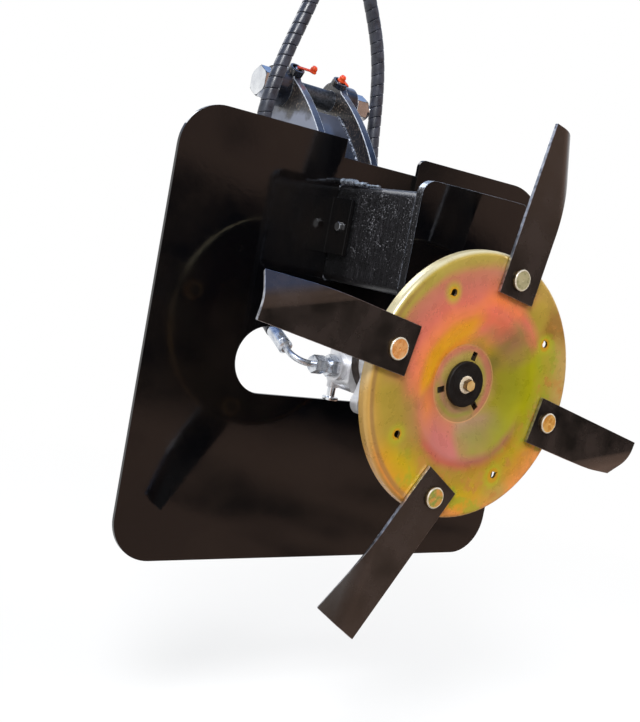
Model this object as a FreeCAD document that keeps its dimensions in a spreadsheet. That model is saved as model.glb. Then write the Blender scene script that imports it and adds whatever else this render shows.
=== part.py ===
"""Hydraulic brush cutter for the arm of a mini excavator.

Frame: millimetres, +Z up, +X along the hitch pins, +Y back towards the excavator arm.
The origin is the middle of the lower hitch pin, which the excavator arm holds.
The cutting disc faces forward, along -Y.
"""
import FreeCAD, Part
import math
import os

import Sketcher
from FreeCAD import Placement, Rotation, Vector

doc = FreeCAD.newDocument("brush_cutter")
sheet = doc.addObject("Spreadsheet::Sheet", "sizes")

# Driving sizes in millimetres and degrees: name, value, meaning.
SIZES = [
    ("axis_offset", 10, "motor axis, to the right of the arm's middle"),
    ("axis_drop", 185, "motor axis, below the arm pin"),
    ("guard_ahead", 174, "guard's front face, ahead of the arm pin"),
    ("disc_ahead", 221, "disc's front face, ahead of the guard's front face"),
    ("plate_behind", 66, "motor plate's front face, behind the disc's front face"),
    ("fit_clearance", 0.05, "radial clearance of a shaft that turns in a hole"),
    ("bolt_clearance", 0.25, "clearance of a bolt or pin that is clamped"),
    ("guard_left", 291, "guard, from the motor axis to the left edge"),
    ("guard_right", 297, "guard, from the motor axis to the right edge"),
    ("guard_above", 252.5, "guard, from the motor axis to the top edge"),
    ("guard_below", 272.5, "guard, from the motor axis to the bottom edge"),
    ("guard_thickness", 5, "guard sheet"),
    ("guard_corner", 52, "corner radius of the guard's left side and foot"),
    ("guard_shoulder", 74, "corner radius at the guard's top right"),
    ("notch_gap", 1, "gap between the guard's notch and the box arm"),
    ("notch_corner", 10, "corner radius at the notch's right mouth"),
    ("slot_length", 342, "hose slot, end to end"),
    ("slot_height", 82, "hose slot, height"),
    ("slot_drop", 25, "hose slot's middle, below the motor axis"),
    ("tab_depth", 37, "bent tab beside the box arm, front to back"),
    ("tab_height", 67, "bent tab, height"),
    ("tab_rise", 114, "bent tab's lower edge, above the motor axis"),
    ("tab_bolt_radius", 3, "tab bolt"),
    ("tab_head_radius", 5.8, "tab bolt's head, across corners over two"),
    ("tab_head_height", 4, "tab bolt's head"),
    ("tab_bolt_end", 4, "tab bolt, past the inside of the box arm's wall"),
    ("tab_bolt_back", 22, "tab bolt, ahead of the guard's front face"),
    ("arm_width", 116, "box arm, outside width"),
    ("arm_height", 117, "box arm, outside height"),
    ("arm_rise", 82, "box arm's lower face, above the motor axis"),
    ("arm_wall", 6, "box arm's wall"),
    ("arm_corner", 9, "box arm's outside corner radius"),
    ("motor_plate_left", 71, "motor plate, from the axis to the left edge"),
    ("motor_plate_right", 101, "motor plate, from the axis to the right edge"),
    ("motor_plate_above", 213, "motor plate, from the axis to the top edge"),
    ("motor_plate_below", 78, "motor plate, from the axis to the bottom edge"),
    ("motor_plate_thickness", 10, "motor plate"),
    ("motor_plate_corner", 18, "motor plate's corner radius"),
    ("hitch_width", 200, "hitch plate, width"),
    ("hitch_thickness", 12, "hitch plate"),
    ("hitch_above", 231, "hitch plate's top edge, above the motor axis"),
    ("hitch_below", 58, "hitch plate's bottom edge, above the motor axis"),
    ("ear_spacing", 79, "between the middles of the two ears"),
    ("ear_thickness", 12, "one ear"),
    ("ear_eye_radius", 27.5, "outside radius of an ear's eye"),
    ("ear_curve", 345, "radius of the ears' front edge"),
    ("ear_top_ahead", 19, "front edge's upper end, ahead of the link pin"),
    ("ear_top_rise", 15, "front edge's upper end, above the link pin"),
    ("ear_edge_foot", 55, "front edge's lower end, below the arm pin"),
    ("ear_foot", 112, "ears' lower corner, below the arm pin"),
    ("link_rise", 136, "link pin, above the arm pin"),
    ("link_back", 14, "link pin, behind the arm pin"),
    ("web_setback", 24, "web between the ears, behind their front edge"),
    ("web_thickness", 8, "web between the ears"),
    ("web_top", 127, "web's upper end, round the centre of the ears' front edge"),
    ("web_foot", 158, "web's lower end, round the same centre"),
    ("boss_radius", 26, "pin boss, outside radius"),
    ("grip_length", 132, "over both pairs of pin bosses"),
    ("pin_radius", 14, "hitch pin"),
    ("thread_step", 2, "hitch pin's thread, smaller in radius than the pin"),
    ("thread_end", 4, "hitch pin's thread, past its nut"),
    ("shank_end", 1, "hitch pin's full radius, short of the boss"),
    ("pin_head_length", 19, "hitch pin's head"),
    ("pin_head_radius", 20.8, "hitch pin's head, across corners over two"),
    ("nut_length", 24, "hitch pin's nut"),
    ("nut_collar", 6, "locking collar on the nut's end"),
    ("fitting_seat", 0.3, "between a grease fitting and the ear's eye"),
    ("collar_radius", 11, "grease fitting's collar"),
    ("collar_wall", 3.5, "grease fitting's collar, wall"),
    ("collar_height", 6, "grease fitting's collar"),
    ("nipple_radius", 3.5, "grease nipple"),
    ("nipple_height", 6.3, "grease nipple"),
    ("grease_left", 40, "left grease fitting, from the arm's middle"),
    ("grease_right", 33, "right grease fitting, from the arm's middle"),
    ("grease_lean", 37, "grease fittings, forward from upright"),
    ("strap_width", 5, "left grease cap's strap"),
    ("strap_length", 24, "left grease cap's strap, nipple to cap"),
    ("strap_thickness", 2, "left grease cap's strap"),
    ("cap_radius", 5.5, "grease fitting's cap"),
    ("cap_height", 9, "grease fitting's cap"),
    ("housing_radius", 45, "bearing housing"),
    ("housing_length", 50, "bearing housing"),
    ("housing_flange", 12, "bearing housing's flange, thickness"),
    ("housing_flange_radius", 64, "bearing housing's flange, radius"),
    ("housing_bolt_circle", 54, "bearing housing's bolts, circle radius"),
    ("housing_bolt_radius", 5, "bearing housing's bolts"),
    ("housing_head_radius", 9.25, "housing bolts' heads, across corners over two"),
    ("bolt_head_height", 7, "heads of the housing bolts and the flange bolts"),
    ("housing_bolt_end", 4, "housing bolts, past the housing's flange"),
    ("housing_end_wall", 8, "bearing housing's wall at its back"),
    ("motor_radius", 46, "motor's front section"),
    ("motor_front_length", 10, "motor's front section behind its flange"),
    ("flange_thickness", 14, "motor flange"),
    ("flange_head_radius", 8.5, "motor flange's bolts, head radius"),
    ("lobe_reach", 66, "motor flange's bolts, from the axis"),
    ("lobe_radius", 14, "motor flange's lobes"),
    ("lobe_angle", 51, "motor flange's lobes, up from level"),
    ("ring_length", 12, "motor's gear ring"),
    ("ring_radius", 47.5, "motor's gear ring"),
    ("block_size", 92, "motor's port block, across its flats"),
    ("block_length", 45, "motor's port block"),
    ("block_corner", 16, "motor's port block, corner radius"),
    ("plug_inset", 7, "drain plug, in from the port block's left side"),
    ("plug_ahead", 7, "drain plug, ahead of the port block's back"),
    ("plug_boss_radius", 7, "boss under the block's corner, for the drain plug"),
    ("plug_stem_radius", 5, "drain plug's stem"),
    ("plug_stem_length", 12, "drain plug's stem, from the block to the head"),
    ("plug_head_radius", 10, "drain plug's head"),
    ("plug_head_length", 4, "drain plug's head"),
    ("motor_cap_radius", 32, "motor's end cap"),
    ("motor_cap_length", 5, "motor's end cap"),
    ("port_drop", 18, "ports, below the motor axis"),
    ("port_boss_radius", 17, "port boss"),
    ("port_boss_length", 8, "port boss"),
    ("adaptor_radius", 13.9, "port adaptor's hexagon, across corners over two"),
    ("adaptor_length", 11, "port adaptor"),
    ("neck_radius", 8.8, "neck between the adaptor and the hose nut"),
    ("neck_length", 2, "neck between the adaptor and the hose nut"),
    ("swivel_radius", 11, "hose nut, across corners over two"),
    ("swivel_length", 20, "hose nut"),
    ("elbow_radius", 4, "elbow tube"),
    ("elbow_reach", 24, "elbow's corner, from the hose nut"),
    ("elbow_bend", 22, "elbow's bend radius"),
    ("elbow_rise", 27, "from the elbow's corner to the ferrule"),
    ("ferrule_tilt", 26, "ferrule, up from level"),
    ("ferrule_radius", 9, "crimped ferrule"),
    ("ferrule_length", 38, "crimped ferrule"),
    ("hose_radius", 9.5, "wrapped hose"),
    ("coupler_length", 58, "quick coupler on a hose's end"),
    ("coupler_radius", 14, "quick coupler's sleeve"),
    ("coupler_neck_radius", 10, "quick coupler's neck"),
    ("coupler_neck_length", 23, "quick coupler's neck"),
    ("coupler_nose_radius", 11, "quick coupler's nose"),
    ("coupler_nose_length", 9, "quick coupler's nose"),
    ("hose_first_run", 49, "hose's straight run out of its ferrule"),
    ("disc_radius", 150, "cutting disc"),
    ("disc_thickness", 3, "disc sheet"),
    ("rim_depth", 14, "disc's turned rim, front to back"),
    ("rim_bend", 6, "disc's rim, outside bend radius"),
    ("dish_outer", 84, "dish's outer radius"),
    ("dish_inner", 44, "dish's flat middle, radius"),
    ("dish_depth", 18, "dish's depth"),
    ("dish_edge_radius", 25, "bend at the dish's outer edge"),
    ("dish_floor_radius", 18, "bend at the dish's flat middle"),
    ("bolt_circle", 128.4, "blade bolts, circle radius"),
    ("bolt_phase", 75.4, "first blade bolt, up from level"),
    ("drain_circle", 113.8, "drop holes, circle radius"),
    ("drain_radius", 4, "drop holes"),
    ("key_reach", 32, "key slots, circle radius"),
    ("key_length", 12, "key slots"),
    ("key_width", 6, "key slots"),
    ("hub_flange_radius", 34, "hub's flange"),
    ("hub_flange_length", 9, "hub's flange"),
    ("hub_radius", 26, "hub's barrel"),
    ("hub_step", 6, "hub's barrel, short of the motor plate"),
    ("spindle_gap", 2, "between the spindle and the motor plate's hole"),
    ("spindle_end_gap", 4, "between the spindle's end and the housing's end wall"),
    ("spindle_radius", 20, "spindle in the bearing housing"),
    ("washer_radius", 26, "hub washer"),
    ("washer_thickness", 5, "hub washer"),
    ("hub_bolt_radius", 5, "hub bolt's shank"),
    ("hub_bolt_collar_radius", 10, "hub bolt's flange under its head"),
    ("hub_bolt_collar_height", 1.5, "hub bolt's flange under its head"),
    ("hub_bolt_head_radius", 7.5, "hub bolt's head, across corners over two"),
    ("hub_bolt_head_height", 6, "hub bolt's head"),
    ("hub_bolt_grip", 25, "hub bolt's thread in the hub"),
    ("hub_bolt_space", 5, "hub's bore, past the hub bolt's end"),
    ("blade_length", 194, "blade, root to tip"),
    ("blade_root", 21.5, "blade, from the root to the bolt"),
    ("blade_straight", 24.5, "blade, from the bolt to the straight edge"),
    ("blade_wing", 30.5, "blade, from the bolt to the winged edge"),
    ("blade_thickness", 4, "blade"),
    ("blade_gap", 0.6, "between the disc and a blade"),
    ("fold_start", 95, "where the fold leaves the winged edge, from the bolt"),
    ("fold_end", 2, "where the fold meets the tip, to the straight edge's side of the bolt"),
    ("fold_angle", 42, "how far the wing is bent back"),
    ("fold_radius", 28, "the wing's bend"),
    ("blade_bolt_radius", 8, "blade bolt's shank"),
    ("blade_head_radius", 12, "blade bolt's head"),
    ("blade_head_height", 3.4, "blade bolt's head"),
    ("blade_head_round", 1.2, "rounding of the blade bolt's head"),
    ("blade_bolt_end", 2, "blade bolt, past its nut"),
    ("blade_nut_radius", 13.9, "blade nut, across corners over two"),
    ("blade_nut_length", 12, "blade nut"),
    ("blade_angle_first", 79.5, "first blade, up from level"),
    ("blade_angle_second", 168.8, "second blade"),
    ("blade_angle_third", 236.3, "third blade"),
    ("blade_angle_fourth", 346.5, "fourth blade"),
]


class Size:
    """A number together with the sheet formula that gives it."""

    def __init__(self, value, formula):
        self.value = value
        self.formula = formula

    def __add__(self, other):
        other = as_size(other)
        return Size(self.value + other.value, "(%s + %s)" % (self.formula, other.formula))

    def __sub__(self, other):
        other = as_size(other)
        return Size(self.value - other.value, "(%s - %s)" % (self.formula, other.formula))

    def __mul__(self, other):
        other = as_size(other)
        return Size(self.value * other.value, "(%s * %s)" % (self.formula, other.formula))

    def __truediv__(self, other):
        other = as_size(other)
        return Size(self.value / other.value, "(%s / %s)" % (self.formula, other.formula))

    def __neg__(self):
        return Size(-self.value, "(-1 * %s)" % self.formula)


def as_size(number):
    """Wrap a plain number as a Size."""
    if isinstance(number, Size):
        return number
    return Size(float(number), "(%r)" % float(number))


def cosine(angle):
    return Size(math.cos(math.radians(angle.value)), "cos(%s)" % angle.formula)


def sine(angle):
    return Size(math.sin(math.radians(angle.value)), "sin(%s)" % angle.formula)


def tangent(angle):
    return Size(math.tan(math.radians(angle.value)), "tan(%s)" % angle.formula)


def root(square):
    return Size(math.sqrt(square.value), "sqrt(%s)" % square.formula)


size = {}
for row, (name, value, meaning) in enumerate(SIZES, 1):
    sheet.set("A%d" % row, name)
    sheet.set("B%d" % row, str(value))
    sheet.set("C%d" % row, meaning)
    sheet.setAlias("B%d" % row, name)
    size[name] = Size(float(value), "sizes.%s" % name)
doc.recompute()

ZERO = as_size(0)
QUARTER_TURN = 90
EIGHTH_TURN = 45
WHOLE_TURN = 360
# Two places nearer than this are the same place.
NEAR = 0.01
# How much of a run's length an arc may take at each of its ends.
RUN_SHARE = 0.45

# Stations along Y and heights along Z, all from the arm pin.
guard_front = -size["guard_ahead"]
guard_back = guard_front + size["guard_thickness"]
disc_front = guard_front - size["disc_ahead"]
plate_front = disc_front + size["plate_behind"]
plate_back = plate_front + size["motor_plate_thickness"]
hitch_back = guard_back + size["hitch_thickness"]
axis_x = size["axis_offset"]
axis_z = -size["axis_drop"]
housing_back = plate_back + size["housing_length"]
flange_back = housing_back + size["flange_thickness"]
ring_front = flange_back + size["motor_front_length"]
block_front = ring_front + size["ring_length"]
block_middle = block_front + size["block_length"] / 2
port_z = axis_z - size["port_drop"]

parts = []


def bind(target, prop, amount):
    """Tie a property to the sheet."""
    target.setExpression(prop, as_size(amount).formula)


def place(target, x=ZERO, y=ZERO, z=ZERO):
    """Tie a piece's position to the sheet."""
    bind(target, "Placement.Base.x", x)
    bind(target, "Placement.Base.y", y)
    bind(target, "Placement.Base.z", z)


def turn(target, axis, angle):
    """Turn a piece about an axis through its own origin, by an angle from the sheet."""
    target.Placement.Rotation = Rotation(axis, as_size(angle).value or 1)
    bind(target, "Placement.Rotation.Angle", angle)


def keep(target, name):
    """Make an object a sub-part under its node's name."""
    target.Label = name
    parts.append(target)
    return target


def new_body(name):
    return keep(doc.addObject("PartDesign::Body", name), name)


def sketch_on(body, role, name, height=ZERO):
    """A sketch on one of the body's own planes, moved along its normal."""
    sketch = body.newObject("Sketcher::SketchObject", name)
    plane = [item for item in body.Origin.OriginFeatures if item.Role == role][0]
    sketch.AttachmentSupport = [(plane, "")]
    sketch.MapMode = "FlatFace"
    bind(sketch, "AttachmentOffset.Base.z", height)
    return sketch


def tie_point(sketch, index, point, spot):
    """Tie one end of a sketch line to two sheet formulas."""
    for kind, amount in (("DistanceX", point[0]), ("DistanceY", point[1])):
        amount = as_size(amount)
        number = sketch.addConstraint(Sketcher.Constraint(kind, -1, 1, index, spot, amount.value))
        sketch.setExpression("Constraints[%d]" % number, amount.formula)


def outline(sketch, points, arcs=()):
    """A closed outline through the points; arcs gives (side number, radius, bulge sign)."""
    points = [(as_size(x), as_size(y)) for x, y in points]
    flat = [Vector(x.value, y.value, 0) for x, y in points]
    base = sketch.GeometryCount
    count = len(points)
    curved = {side: (as_size(radius), sign) for side, radius, sign in arcs}
    ends = {}
    for side in range(count):
        first = flat[side]
        last = flat[(side + 1) % count]
        ends[side] = (1, 2)
        if side in curved:
            radius, sign = curved[side]
            if sign > 0:
                first, last = last, first
                ends[side] = (2, 1)
            sketch.addGeometry(arc_between(first, last, radius.value), False)
        else:
            sketch.addGeometry(Part.LineSegment(first, last), False)
    for side in range(count):
        after = (side + 1) % count
        sketch.addConstraint(
            Sketcher.Constraint("Coincident", base + side, ends[side][1], base + after, ends[after][0])
        )
    for side in range(count):
        tie_point(sketch, base + side, points[side], ends[side][0])
    for side, (radius, sign) in curved.items():
        number = sketch.addConstraint(Sketcher.Constraint("Radius", base + side, radius.value))
        sketch.setExpression("Constraints[%d]" % number, radius.formula)


def arc_between(first, last, radius):
    """The shorter arc from first to last, anticlockwise round its centre."""
    chord = last - first
    half = chord.Length / 2
    reach = math.sqrt(radius * radius - half * half)
    side = Vector(-chord.y, chord.x, 0).normalize()
    centre = first + chord * 0.5 + side * reach
    start = math.atan2(first.y - centre.y, first.x - centre.x)
    end = start + 2 * math.asin(half / radius)
    return Part.ArcOfCircle(Part.Circle(centre, Vector(0, 0, 1), radius), start, end)


def circle(sketch, radius, x=ZERO, y=ZERO):
    """A circle whose centre and radius come from the sheet."""
    radius = as_size(radius)
    x = as_size(x)
    y = as_size(y)
    centre = Vector(x.value, y.value, 0)
    index = sketch.addGeometry(Part.Circle(centre, Vector(0, 0, 1), radius.value), False)
    tie_point(sketch, index, (x, y), 3)
    number = sketch.addConstraint(Sketcher.Constraint("Radius", index, radius.value))
    sketch.setExpression("Constraints[%d]" % number, radius.formula)


def hexagon(sketch, radius):
    """A hexagon by its corner radius, with two corners on the sketch's Y axis."""
    corners = []
    for step in range(6):
        angle = as_size(30 + 60 * step)
        corners.append((radius * cosine(angle), radius * sine(angle)))
    outline(sketch, corners)


def pad(body, sketch, length, back=False):
    feature = body.newObject("PartDesign::Pad", sketch.Name + "_pad")
    feature.Profile = sketch
    bind(feature, "Length", length)
    feature.Reversed = back
    doc.recompute()
    return feature


def pocket(body, sketch, through=None, back=False):
    """Cut a sketch through the body, and make sure that it cut something."""
    before = body.Shape.Volume
    feature = body.newObject("PartDesign::Pocket", sketch.Name + "_cut")
    feature.Profile = sketch
    feature.Reversed = back
    if through is None:
        feature.Type = "ThroughAll"
        feature.Midplane = True
    else:
        bind(feature, "Length", through)
    doc.recompute()
    if feature.Shape.Volume > before - NEAR:
        raise RuntimeError("%s cuts nothing" % feature.Name)
    return feature


def revolve(body, sketch, axis):
    feature = body.newObject("PartDesign::Revolution", sketch.Name + "_turned")
    feature.Profile = sketch
    feature.ReferenceAxis = (sketch, [axis])
    feature.Angle = WHOLE_TURN
    doc.recompute()
    return feature


def round_edges(body, name, radius, test):
    """Fillet the edges of the body's last feature whose middle passes the test."""
    base = body.Tip
    chosen = []
    for number, edge in enumerate(base.Shape.Edges, 1):
        middle = edge.valueAt((edge.FirstParameter + edge.LastParameter) / 2)
        if test(edge, middle):
            chosen.append("Edge%d" % number)
    if not chosen:
        raise RuntimeError("%s rounds nothing" % name)
    feature = body.newObject("PartDesign::Fillet", name)
    feature.Base = (base, chosen)
    bind(feature, "Radius", radius)
    doc.recompute()
    return feature


def around(body, feature, name, count, axis_role):
    """Repeat a feature round one of the body's own axes."""
    axis = [item for item in body.Origin.OriginFeatures if item.Role == axis_role][0]
    pattern = body.newObject("PartDesign::PolarPattern", name)
    pattern.Originals = [feature]
    pattern.Axis = (axis, [""])
    pattern.Angle = WHOLE_TURN
    pattern.Occurrences = count
    body.Tip = pattern
    doc.recompute()
    return pattern


def stands_at(first, second, plane):
    """A test for straight edges along a pad, at one corner of its outline."""
    first = as_size(first).value
    second = as_size(second).value

    def test(edge, middle):
        across = (middle.x, middle.z) if plane == "XZ" else (middle.y, middle.z)
        straight = isinstance(edge.Curve, Part.Line)
        along = straight and abs(getattr(edge.Curve.Direction, "y" if plane == "XZ" else "x")) > 1 - NEAR
        return along and abs(across[0] - first) < NEAR and abs(across[1] - second) < NEAR

    return test


def turned_piece(name, profile, x=axis_x, y=ZERO, z=axis_z):
    """A body turned about Y from a profile of (radius, station) points."""
    body = new_body(name)
    sketch = sketch_on(body, "XY_Plane", name + "_profile")
    outline(sketch, profile)
    revolve(body, sketch, "V_Axis")
    place(body, x, y, z)
    return body


def cross_piece(name, profile, x=ZERO, y=ZERO, z=ZERO):
    """A body turned about X from a profile of (station, radius) points."""
    body = new_body(name)
    sketch = sketch_on(body, "XY_Plane", name + "_profile")
    outline(sketch, profile)
    revolve(body, sketch, "H_Axis")
    place(body, x, y, z)
    return body


# ---------------------------------------------------------------- guard, arm and hitch

def make_guard_plate():
    """The flat guard, with its notch, its hose slot and the two tabs beside the arm."""
    body = new_body("guard_plate")
    half_notch = size["arm_width"] / 2 + size["notch_gap"]
    notch_left = -axis_x - half_notch
    notch_right = -axis_x + half_notch
    notch_foot = size["arm_rise"] - size["notch_gap"]
    left = -size["guard_left"]
    right = size["guard_right"]
    top = size["guard_above"]
    foot = -size["guard_below"]
    sheet_sketch = sketch_on(body, "XZ_Plane", "guard_outline")
    outline(
        sheet_sketch,
        [
            (left, foot),
            (right, foot),
            (right, top),
            (notch_right, top),
            (notch_right, notch_foot),
            (notch_left, notch_foot),
            (notch_left, top),
            (left, top),
        ],
    )
    pad(body, sheet_sketch, size["guard_thickness"], back=True)
    round_edges(body, "guard_top_left", size["guard_corner"], stands_at(left, top, "XZ"))
    round_edges(body, "guard_foot_left", size["guard_corner"], stands_at(left, foot, "XZ"))
    round_edges(body, "guard_foot_right", size["guard_corner"], stands_at(right, foot, "XZ"))
    round_edges(body, "guard_top_right", size["guard_shoulder"], stands_at(right, top, "XZ"))
    round_edges(body, "notch_mouth", size["notch_corner"], stands_at(notch_right, top, "XZ"))
    for side in (-1, 1):
        tab = sketch_on(body, "XZ_Plane", "tab_%s" % ("left" if side < 0 else "right"))
        inner = -axis_x + half_notch * side
        outer = inner + size["guard_thickness"] * side
        low = size["tab_rise"]
        high = size["tab_rise"] + size["tab_height"]
        outline(tab, [(inner, low), (outer, low), (outer, high), (inner, high)])
        pad(body, tab, size["tab_depth"])
    middle = size["slot_length"] / 2 - size["slot_height"] / 2
    half = size["slot_height"] / 2
    slot = sketch_on(body, "XZ_Plane", "slot_middle")
    drop = -size["slot_drop"]
    low = drop - half
    high = drop + half
    outline(slot, [(-middle, low), (middle, low), (middle, high), (-middle, high)])
    pocket(body, slot)
    for side in (-1, 1):
        end = sketch_on(body, "XZ_Plane", "slot_end_%s" % ("left" if side < 0 else "right"))
        circle(end, half, middle * side, drop)
        pocket(body, end)
    holes = sketch_on(body, "YZ_Plane", "tab_holes")
    tab_middle = size["tab_rise"] + size["tab_height"] / 2
    circle(holes, size["tab_bolt_radius"] + size["bolt_clearance"], -size["tab_bolt_back"], tab_middle)
    pocket(body, holes)
    place(body, axis_x, guard_front, axis_z)


def make_box_arm():
    """The square tube from the hitch plate to the motor plate."""
    body = new_body("box_arm")
    half = size["arm_width"] / 2
    tall = size["arm_height"]
    length = guard_back - plate_back
    tube = sketch_on(body, "XZ_Plane", "arm_outline")
    outline(tube, [(-half, ZERO), (half, ZERO), (half, tall), (-half, tall)])
    pad(body, tube, length, back=True)
    corners = [stands_at(x, z, "XZ") for x in (-half, half) for z in (ZERO, tall)]
    round_edges(body, "arm_corners", size["arm_corner"],
                lambda edge, middle: any(test(edge, middle) for test in corners))
    low = size["arm_wall"]
    high = tall - low
    inside = half - low
    hollow = sketch_on(body, "XZ_Plane", "arm_hollow")
    outline(hollow, [(-inside, low), (inside, low), (inside, high), (-inside, high)])
    pocket(body, hollow)
    holes = sketch_on(body, "YZ_Plane", "arm_holes")
    tab_middle = size["tab_rise"] + size["tab_height"] / 2 - size["arm_rise"]
    circle(holes, size["tab_bolt_radius"] + size["bolt_clearance"],
           guard_front - size["tab_bolt_back"] - plate_back, tab_middle)
    pocket(body, holes)
    place(body, ZERO, plate_back, axis_z + size["arm_rise"])


def make_tab_bolts():
    """A bolt through each tab into the box arm's wall."""
    for side, name in ((-1, "left"), (1, "right")):
        head_face = size["arm_width"] / 2 + size["notch_gap"] + size["guard_thickness"]
        shank_end = size["arm_width"] / 2 - size["arm_wall"] - size["tab_bolt_end"]
        body = new_body("tab_bolt_" + name)
        head = sketch_on(body, "YZ_Plane", "tab_head_" + name, head_face)
        hexagon(head, size["tab_head_radius"])
        pad(body, head, size["tab_head_height"])
        shank = sketch_on(body, "YZ_Plane", "tab_shank_" + name, head_face)
        circle(shank, size["tab_bolt_radius"])
        pad(body, shank, head_face - shank_end, back=True)
        turn(body, Vector(0, 0, 1), as_size(180 if side < 0 else 0))
        place(body, ZERO, guard_front - size["tab_bolt_back"],
              axis_z + size["tab_rise"] + size["tab_height"] / 2)


def make_motor_plate():
    """The plate that carries the bearing housing, welded to the arm's front end."""
    body = new_body("motor_plate")
    left = -size["motor_plate_left"]
    right = size["motor_plate_right"]
    top = size["motor_plate_above"]
    foot = -size["motor_plate_below"]
    sheet_sketch = sketch_on(body, "XZ_Plane", "motor_plate_outline")
    outline(sheet_sketch, [(left, foot), (right, foot), (right, top), (left, top)])
    pad(body, sheet_sketch, size["motor_plate_thickness"], back=True)
    corners = [stands_at(x, z, "XZ") for x in (left, right) for z in (foot, top)]
    round_edges(body, "motor_plate_corners", size["motor_plate_corner"],
                lambda edge, middle: any(test(edge, middle) for test in corners))
    hole = sketch_on(body, "XZ_Plane", "spindle_hole")
    circle(hole, size["spindle_radius"] + size["spindle_gap"])
    pocket(body, hole)
    bolt = sketch_on(body, "XZ_Plane", "housing_bolt_hole")
    reach = size["housing_bolt_circle"] * cosine(as_size(EIGHTH_TURN))
    circle(bolt, size["housing_bolt_radius"] + size["bolt_clearance"], reach, reach)
    first = pocket(body, bolt)
    around(body, first, "housing_bolt_holes", 4, "Y_Axis")
    place(body, axis_x, plate_front, axis_z)


def make_hitch_plate():
    """The plate behind the guard that joins the arm to the ears."""
    body = new_body("hitch_plate")
    half = size["hitch_width"] / 2
    sheet_sketch = sketch_on(body, "XZ_Plane", "hitch_outline")
    low = size["hitch_below"]
    high = size["hitch_above"]
    outline(sheet_sketch, [(-half, low), (half, low), (half, high), (-half, high)])
    pad(body, sheet_sketch, size["hitch_thickness"], back=True)
    corners = [stands_at(x, z, "XZ") for x in (-half, half) for z in (low, high)]
    round_edges(body, "hitch_corners", size["notch_corner"],
                lambda edge, middle: any(test(edge, middle) for test in corners))
    place(body, ZERO, guard_back, axis_z)


def make_ear(name, side):
    """One ear, with an eye for each pin."""
    body = new_body(name)
    link_y = size["link_back"]
    link_z = size["link_rise"]
    eye = size["ear_eye_radius"]
    web = sketch_on(body, "YZ_Plane", name + "_outline")
    outline(
        web,
        [
            (link_y - size["ear_top_ahead"], link_z + size["ear_top_rise"]),
            (hitch_back, -size["ear_edge_foot"]),
            (hitch_back, -size["ear_foot"]),
            (ZERO, -eye),
            (eye, ZERO),
            (link_y + eye, link_z),
        ],
        arcs=[(0, size["ear_curve"], -1)],
    )
    pad(body, web, size["ear_thickness"])
    for end, y, z in (("arm", ZERO, ZERO), ("link", link_y, link_z)):
        ring = sketch_on(body, "YZ_Plane", "%s_%s_eye" % (name, end))
        circle(ring, eye, y, z)
        pad(body, ring, size["ear_thickness"])
    for end, y, z in (("arm", ZERO, ZERO), ("link", link_y, link_z)):
        bore = sketch_on(body, "YZ_Plane", "%s_%s_bore" % (name, end))
        circle(bore, size["pin_radius"] + size["bolt_clearance"], y, z)
        pocket(body, bore)
    place(body, size["ear_spacing"] / 2 * side - size["ear_thickness"] / 2)


def make_ear_web():
    """The curved web between the ears, on the same centre as their front edge."""
    top_y = size["link_back"] - size["ear_top_ahead"]
    top_z = size["link_rise"] + size["ear_top_rise"]
    run = hitch_back - top_y
    drop = -size["ear_edge_foot"] - top_z
    chord = root(run * run + drop * drop)
    radius = size["ear_curve"]
    reach = root(radius * radius - chord * chord / 4)
    centre_y = top_y + run / 2 - drop / chord * reach
    centre_z = top_z + drop / 2 + run / chord * reach
    outer = radius - size["web_setback"]
    inner = outer - size["web_thickness"]
    corners = []
    top = size["web_top"]
    foot = size["web_foot"]
    for distance, angle in ((outer, top), (outer, foot), (inner, foot), (inner, top)):
        corners.append((centre_y + distance * cosine(angle), centre_z + distance * sine(angle)))
    body = new_body("ear_web")
    section = sketch_on(body, "YZ_Plane", "web_section", size["ear_thickness"] / 2 - size["ear_spacing"] / 2)
    outline(section, corners, arcs=[(0, outer, -1), (2, inner, 1)])
    pad(body, section, size["ear_spacing"] - size["ear_thickness"])


def make_bosses():
    """A boss outside each ear's eye, for the arm pin and for the link pin."""
    inner = size["ear_spacing"] / 2 + size["ear_thickness"] / 2
    outer = size["grip_length"] / 2
    bore = size["pin_radius"] + size["bolt_clearance"]
    ring = size["boss_radius"]
    for end, y, z in (("arm", ZERO, ZERO), ("link", size["link_back"], size["link_rise"])):
        for side, name in ((-1, "left"), (1, "right")):
            near = inner * side
            far = outer * side
            profile = [(near, bore), (far, bore), (far, ring), (near, ring)]
            cross_piece("%s_boss_%s" % (end, name), profile, y=y, z=z)


def make_link_pin():
    """The link pin: a bolt with a hexagon head, and its locking nut."""
    half = size["grip_length"] / 2
    body = new_body("link_pin")
    head = sketch_on(body, "YZ_Plane", "link_head", -half)
    hexagon(head, size["pin_head_radius"])
    pad(body, head, size["pin_head_length"], back=True)
    shank = sketch_on(body, "YZ_Plane", "link_shank", -half)
    circle(shank, size["pin_radius"])
    pad(body, shank, half * 2 - size["shank_end"])
    thread_radius = size["pin_radius"] - size["thread_step"]
    thread = sketch_on(body, "YZ_Plane", "link_thread", half - size["shank_end"])
    circle(thread, thread_radius)
    pad(body, thread, size["shank_end"] + size["nut_length"] + size["nut_collar"] + size["thread_end"])
    place(body, ZERO, size["link_back"], size["link_rise"])
    nut = new_body("link_nut")
    flats = sketch_on(nut, "YZ_Plane", "nut_flats", half)
    hexagon(flats, size["pin_head_radius"])
    pad(nut, flats, size["nut_length"])
    collar = sketch_on(nut, "YZ_Plane", "nut_collar", half + size["nut_length"])
    circle(collar, size["pin_radius"])
    pad(nut, collar, size["nut_collar"])
    bore = sketch_on(nut, "YZ_Plane", "nut_bore", half)
    circle(bore, thread_radius + size["fit_clearance"])
    pocket(nut, bore, through=size["nut_length"] + size["nut_collar"], back=True)
    place(nut, ZERO, size["link_back"], size["link_rise"])


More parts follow.
